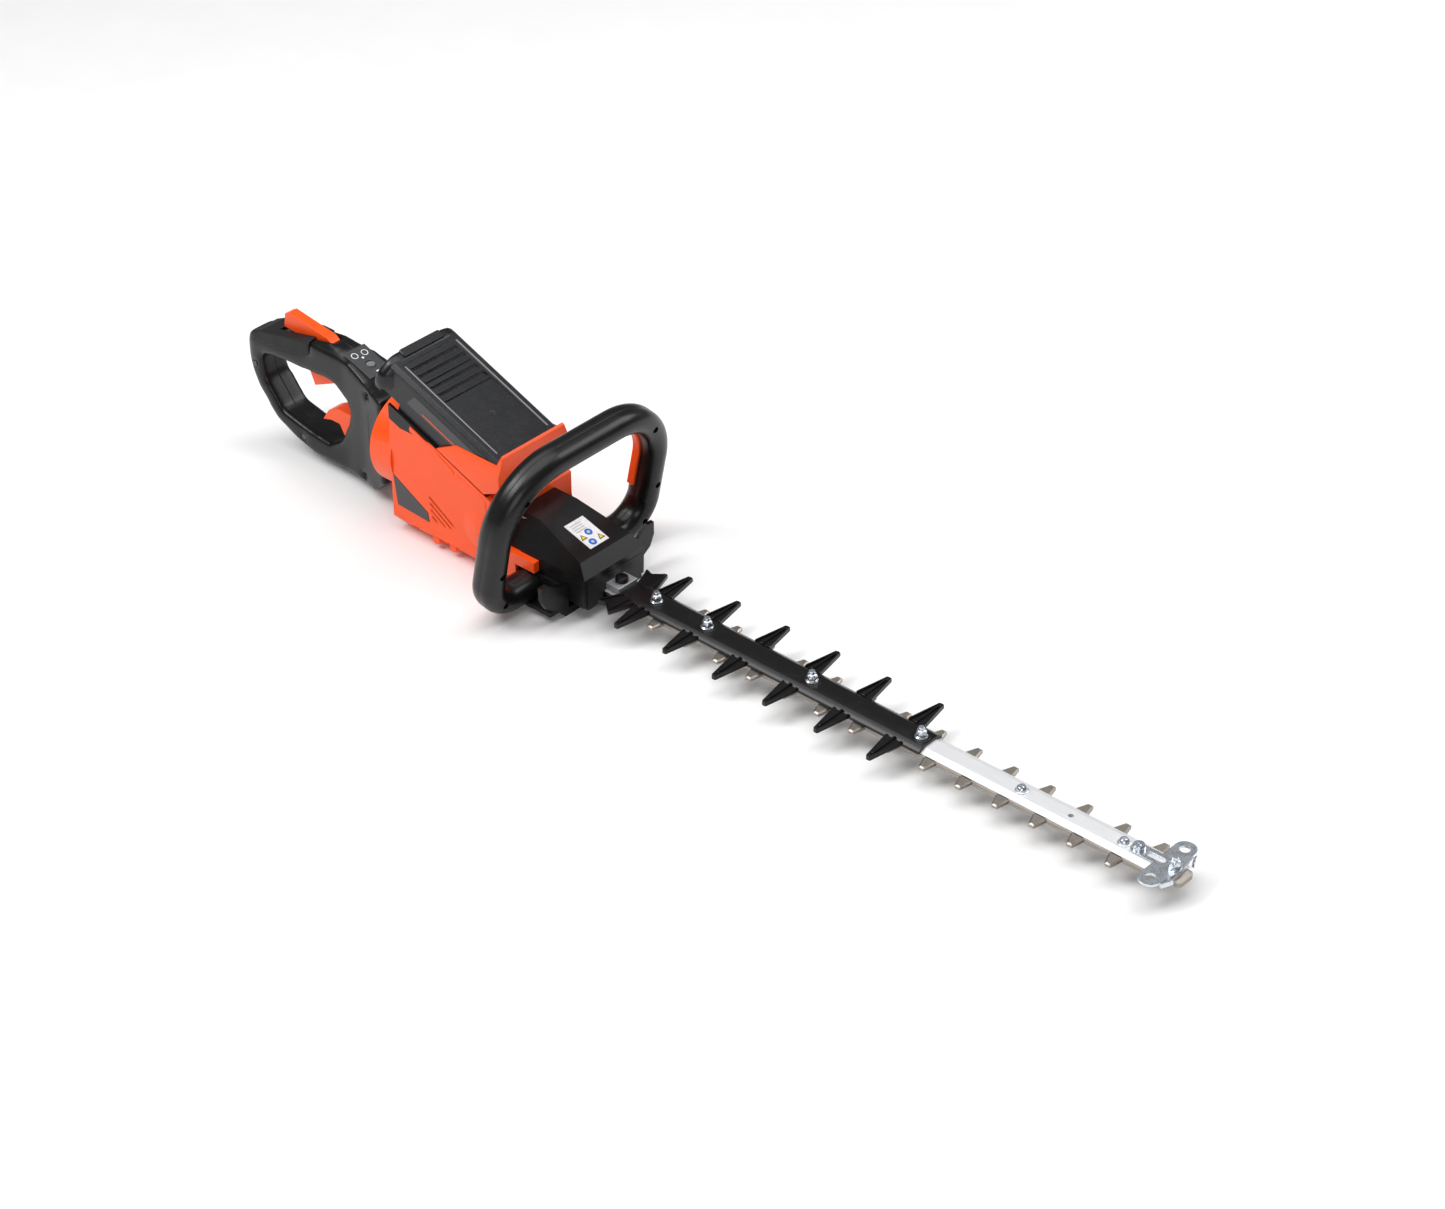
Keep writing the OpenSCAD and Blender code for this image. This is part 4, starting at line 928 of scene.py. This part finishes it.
class TRIMMER_OT_bar(bpy.types.Operator):
    """Guide bar with its screws and bolts"""
    bl_idname = "trimmer.bar"
    bl_label = "Guide bar"

    def execute(self, context):
        eased("guide_bar", 0.25, 2, 20)
        eased("bar_bolts", 0.3)
        self.screws()
        return {"FINISHED"}

    def screws(self):
        """Domed cap screws with round sunk sockets along the bare end of the bar."""
        low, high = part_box("bar_screws")
        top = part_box("guide_bar")[1][2]
        work = bmesh.new()
        rise = (high[2] - top) / MM
        for x in (low[0] + 5 * MM, high[0] - 5 * MM):
            matrix = placed(Vector((x, 0, top)), ALONG, ACROSS)
            head = [(0, -9), (2.4, -9), (2.4, 0), (5.2, 0), (5.2, 0.7), (4.6, 0.9), (4.5, rise * 0.45),
                    (3.9, rise * 0.8), (2.9, rise), (2.3, rise)]
            add_lathe(work, head, matrix, RING_STEPS)
            socket = [[work.verts.new(matrix @ Vector(p)) for p in around(radius, height)]
                      for radius, height in ((2.3, rise), (1.9, rise - 1.6))]
            for k in range(RING_STEPS):
                after = (k + 1) % RING_STEPS
                work.faces.new((socket[0][k], socket[0][after], socket[1][after], socket[1][k]))
            work.faces.new(socket[1])
            nut = [(0, -12.3), (5, -12.3), (5, -10.2), (4.6, -9.8), (2, -9.8), (0, -9.8)]
            add_lathe(work, nut, matrix, RING_STEPS)
        finish_piece(from_bmesh("bar_cap_screws", work), "body", "zinc_steel", None, ["bar_screws"])


class TRIMMER_OT_sweeper(bpy.types.Operator):
    """Debris sweeper: channel over the bar, ribbed spines and forked rear wings"""
    bl_idname = "trimmer.sweeper"
    bl_label = "Sweeper"
    foot, top = -5.4, 0.2

    def execute(self, context):
        cutter = context.scene.trimmer_cutter
        low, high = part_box("debris_sweeper")
        reach = high[1] / MM
        whole = Matrix.Translation(at(0, 0, 0)) @ Matrix.Scale(MM, 4)
        work = bmesh.new()
        f = self.foot
        half = [(-14.5, f + 0.6), (-14.5, f + 2.2), (-13.9, f + 3.0), (-9.4, self.top - 0.2),
                (-8.6, self.top)]
        under = [(12.1, f + 0.6), (12.1, f + 1.05), (6.56, -2.12)]
        section = half + [(-y, z) for y, z in reversed(half)] + under + [(-y, z) for y, z in reversed(under)]
        add_loft(work, [[(x, y, z) for y, z in section] for x in (-30, 284)], whole)
        for x in SWEEPER_NUTS:
            rim = [(7.6, -0.4), (7.6, 0.15), (7.0, 0.4), (5.6, 0.4), (5.6, -0.4), (7.6, -0.4)]
            add_lathe(work, [(radius, self.top + z) for radius, z in rim],
                      whole @ Matrix.Translation((x, 0, 0)), 36)
        for side in (-1, 1):
            wing = rounded_outline([(-30, side * 8), (-38, side * 30), (-30.5, side * 27.5), (-20, side * 36),
                                    (-12, side * 12)], 1.2)
            add_prism(work, wing, f + 0.8, f + 4.8, whole, inset=0.8)
            for toe, heel in (((-36, 28), (-27, 10)), ((-21, 33.5), (-18, 12))):
                rib = self.rib(heel, toe, 0.8, side)
                add_prism(work, rib, f + 4.2, f + 5.7, whole, inset=0.4)
        channel = from_bmesh("sweeper_channel", work, 30)
        parts = [channel]
        for side in (-1, 1):
            spine = self.spine(side, reach)
            spine.data.transform(Matrix.Translation(at(-3, 0, 0)))
            parts.append(in_row(spine, cutter.spine_pairs, ALONG * cutter.spine_pitch,
                                FINISH["black_plastic"]))
        finish_piece(merged("sweeper_moulding", parts, 30), "body", "black_plastic", None, ["debris_sweeper"])
        return {"FINISHED"}

    def rib(self, start, end, half, side):
        """Outline of a straight rib between two points."""
        a, b = Vector((start[0], side * start[1])), Vector((end[0], side * end[1]))
        across = (b - a).orthogonal().normalized() * half
        return [tuple(a + across), tuple(b + across), tuple(b - across), tuple(a - across)]

    def spine(self, side, reach):
        """A tapering spine: thin web, raised edges that meet at the tip, and a middle rib."""
        work = bmesh.new()
        f = self.foot
        web = rounded_outline([(-8, side * 13), (-2.1, side * reach), (2.1, side * reach), (8, side * 13)],
                              1.2)
        local = Matrix.Scale(MM, 4)
        add_prism(work, web, f + 0.9, f + 3.2, local, inset=0.5)
        for start, end in (((-7.2, 13.4), (-1.4, reach - 1)), ((7.2, 13.4), (1.4, reach - 1))):
            add_prism(work, self.rib(start, end, 0.75, side), f + 2.2, f + 4.6, local, inset=0.35)
        add_prism(work, self.rib((0, 12.5), (0, reach - 5), 0.9, side), f + 2.2, f + 5.3, local, inset=0.4)
        tip = rounded_outline([(-1.9, side * (reach - 4)), (-1.7, side * (reach - 0.3)),
                               (1.7, side * (reach - 0.3)), (1.9, side * (reach - 4))], 0.8)
        add_prism(work, tip, f + 2.2, f + 4.4, local, inset=0.4)
        return from_bmesh("sweeper_spine", work, 30)


class TRIMMER_OT_nuts(bpy.types.Operator):
    """Flange nuts on the sweeper and the tip guard, and the tip screw"""
    bl_idname = "trimmer.nuts"
    bl_label = "Nuts"

    def execute(self, context):
        for node, name in (("sweeper_nuts", "sweeper_flange_nuts"), ("tip_nut", "tip_flange_nut")):
            low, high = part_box(node)
            work = bmesh.new()
            for k, x in enumerate(SWEEPER_NUTS if node == "sweeper_nuts" else (TIP_NUT,)):
                seat = Matrix.Translation(Vector((at(x, 0, 0).x, 0, low[2])))
                self.nut(work, seat @ Matrix.Rotation(0.37 * k, 4, "Z") @ Matrix.Scale(MM, 4),
                         (high[2] - low[2]) / MM)
            finish_piece(from_bmesh(name, work, 30), "body", "zinc_steel", None, [node])
        work = bmesh.new()
        low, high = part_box("tip_screw")
        rise = (high[2] - low[2]) / MM
        matrix = placed(Vector(((low[0] + high[0]) / 2, 0, low[2])), ALONG, ACROSS)
        screw = [(0, 0), (2.5, 0), (2.5, rise - 4.2), (5.0, rise - 4.2), (5.0, rise - 0.9), (4.2, rise),
                 (2.4, rise), (2.0, rise - 2.2), (0, rise - 2.2)]
        add_lathe(work, screw, matrix, RING_STEPS)
        finish_piece(from_bmesh("tip_cap_screw", work), "body", "zinc_steel", None, ["tip_screw"])
        return {"FINISHED"}

    def nut(self, work, matrix, height):
        """Conical flange, hexagon with turned corners, and a domed locking collar around the stud."""
        flange = [(NUT_BORE_R, 0), (NUT_FLANGE_R, 0), (NUT_FLANGE_R, 0.6), (4.4, 1.6), (NUT_BORE_R, 1.6),
                  (NUT_BORE_R, 0)]
        add_lathe(work, flange, matrix, 40)
        across_flats = 4.02
        levels = ((1.2, 4.3), (1.5, 4.65), (height - 2.1, 4.65), (height - 1.6, 4.1), (height - 0.3, 3.5),
                  (height, 3.0))
        rings = []
        for z, across in levels:
            ring = []
            for k in range(RING_STEPS):
                a = 2 * math.pi * k / RING_STEPS
                hexagon = across_flats / max(0.1, math.cos((a % (math.pi / 3)) - math.pi / 6))
                radius = min(across, hexagon)
                ring.append((radius * math.cos(a), radius * math.sin(a), z))
            rings.append(ring)
        inner = [around(NUT_BORE_R, z) for z in (height, 1.2)]
        made = add_loft(work, rings + inner, matrix, closed_ends=False)
        for k in range(RING_STEPS):
            after = (k + 1) % RING_STEPS
            work.faces.new((made[-1][k], made[-1][after], made[0][after], made[0][k]))


class TRIMMER_OT_tip_guard(bpy.types.Operator):
    """Pressed tip guard with two eared loops and a turned-down front rim"""
    bl_idname = "trimmer.tip_guard"
    bl_label = "Tip guard"

    def execute(self, context):
        eased("tip_guard", 0.45)
        return {"FINISHED"}


# ---- hidden parts that only want softened edges ----

class TRIMMER_OT_inner(bpy.types.Operator):
    """Screws, motor and other inner pieces"""
    bl_idname = "trimmer.inner"
    bl_label = "Inner parts"

    def execute(self, context):
        for node in ("housing_screws", "handle_screws", "cover_screws", "battery_screws", "terminal_block",
                     "motor_can", "crank_shaft"):
            eased(node, 0.3)
        return {"FINISHED"}


# ---- stage ----

# name, place from the middle of the tool in metres, width in metres and power in watts
LIGHTS = (("key", (-1.0, -1.2, 1.9), 1.0, 30), ("fill", (1.4, -1.8, 1.1), 1.2, 13),
          ("back", (0.7, 1.7, 1.6), 1.3, 24), ("top", (-0.2, 0.1, 2.5), 2.4, 46))


class TRIMMER_OT_stage(bpy.types.Operator):
    """Pale floor, soft studio light and the camera"""
    bl_idname = "trimmer.stage"
    bl_label = "Stage"
    room_light = 0.17

    def execute(self, context):
        low, high = Vector(CAD_BOX[0]), Vector(CAD_BOX[1])
        bpy.ops.mesh.primitive_plane_add(size=14, location=(0, 0, low.z - 0.0002))
        floor = bpy.context.object
        floor.name = "studio_floor"
        s = Shader("studio floor")
        grey = s.mix(s.noise(60.0, 2.0), (0.86, 0.86, 0.86), (0.9, 0.9, 0.9))
        s.feed(Base_Color=grey, Roughness=0.75, Specular_IOR_Level=0.2)
        floor.data.materials.append(s.material)
        self.camera()
        middle = (low + high) / 2
        for name, place, size, watts in LIGHTS:
            data = bpy.data.lights.new(name, "AREA")
            data.energy, data.size = watts, size
            light = bpy.data.objects.new(name, data)
            light.location = middle + Vector(place)
            light.rotation_euler = (middle - light.location).to_track_quat("-Z", "Y").to_euler()
            bpy.context.scene.collection.objects.link(light)
        world = bpy.data.worlds.new("studio")
        world.use_nodes = True
        nodes, links = world.node_tree.nodes, world.node_tree.links
        seen = nodes.new("ShaderNodeLightPath")
        strength = nodes.new("ShaderNodeMapRange")
        strength.inputs["To Min"].default_value = self.room_light
        strength.inputs["To Max"].default_value = 1.0
        links.new(seen.outputs["Is Camera Ray"], strength.inputs["Value"])
        links.new(strength.outputs["Result"], nodes["Background"].inputs["Strength"])
        nodes["Background"].inputs["Color"].default_value = (1, 1, 1, 1)
        bpy.context.scene.world = world
        bpy.context.scene.view_settings.view_transform = "Standard"
        return {"FINISHED"}

    def camera(self):
        """Long lens from the front right, looking down on the tool."""
        turn, tilt, away = math.radians(41.6), math.radians(34.7), 2819.0
        aside, below, lens = 53.42, 2.88, 86.82
        back = Vector((math.sin(turn) * math.cos(tilt), -math.cos(turn) * math.cos(tilt), math.sin(tilt)))
        right = Vector((math.cos(turn), math.sin(turn), 0))
        up = back.cross(right)
        data = bpy.data.cameras.new("camera")
        data.sensor_width = 36.0
        data.lens = lens
        eye = bpy.data.objects.new("camera", data)
        place = away * back + aside * right - below * up
        eye.matrix_world = Matrix.Translation(at(*place)) @ Matrix((right, up, back)).transposed().to_4x4()
        bpy.context.scene.collection.objects.link(eye)
        bpy.context.scene.camera = eye


STEPS = (TRIMMER_OT_finishes, TRIMMER_OT_housing, TRIMMER_OT_battery, TRIMMER_OT_covers,
         TRIMMER_OT_rear_handle, TRIMMER_OT_levers, TRIMMER_OT_front_handle, TRIMMER_OT_blades,
         TRIMMER_OT_bar, TRIMMER_OT_sweeper, TRIMMER_OT_nuts, TRIMMER_OT_tip_guard, TRIMMER_OT_inner,
         TRIMMER_OT_stage)


class TRIMMER_PT_panel(bpy.types.Panel):
    """Lists the trimmer's sizes and its building steps."""
    bl_idname = "TRIMMER_PT_panel"
    bl_label = "Hedge trimmer"
    bl_space_type = "VIEW_3D"
    bl_region_type = "UI"
    bl_category = "Hedge trimmer"

    def draw(self, context):
        column = self.layout.column()
        for group in (context.scene.trimmer_look, context.scene.trimmer_cutter):
            for name in group.bl_rna.properties.keys():
                if name not in ("rna_type", "name"):
                    column.prop(group, name)
        for step in STEPS:
            column.operator(step.bl_idname)


CLASSES = (TrimmerLook, TrimmerCutter) + STEPS + (TRIMMER_PT_panel,)


def register():
    for cls in CLASSES:
        bpy.utils.register_class(cls)
    bpy.types.Scene.trimmer_look = bpy.props.PointerProperty(type=TrimmerLook)
    bpy.types.Scene.trimmer_cutter = bpy.props.PointerProperty(type=TrimmerCutter)


def unregister():
    del bpy.types.Scene.trimmer_cutter
    del bpy.types.Scene.trimmer_look
    for cls in reversed(CLASSES):
        bpy.utils.unregister_class(cls)


def main():
    """Builds everything in order."""
    register()
    for step in STEPS:
        group, name = step.bl_idname.split(".")
        getattr(getattr(bpy.ops, group), name)()


if __name__ == "__main__":
    main()
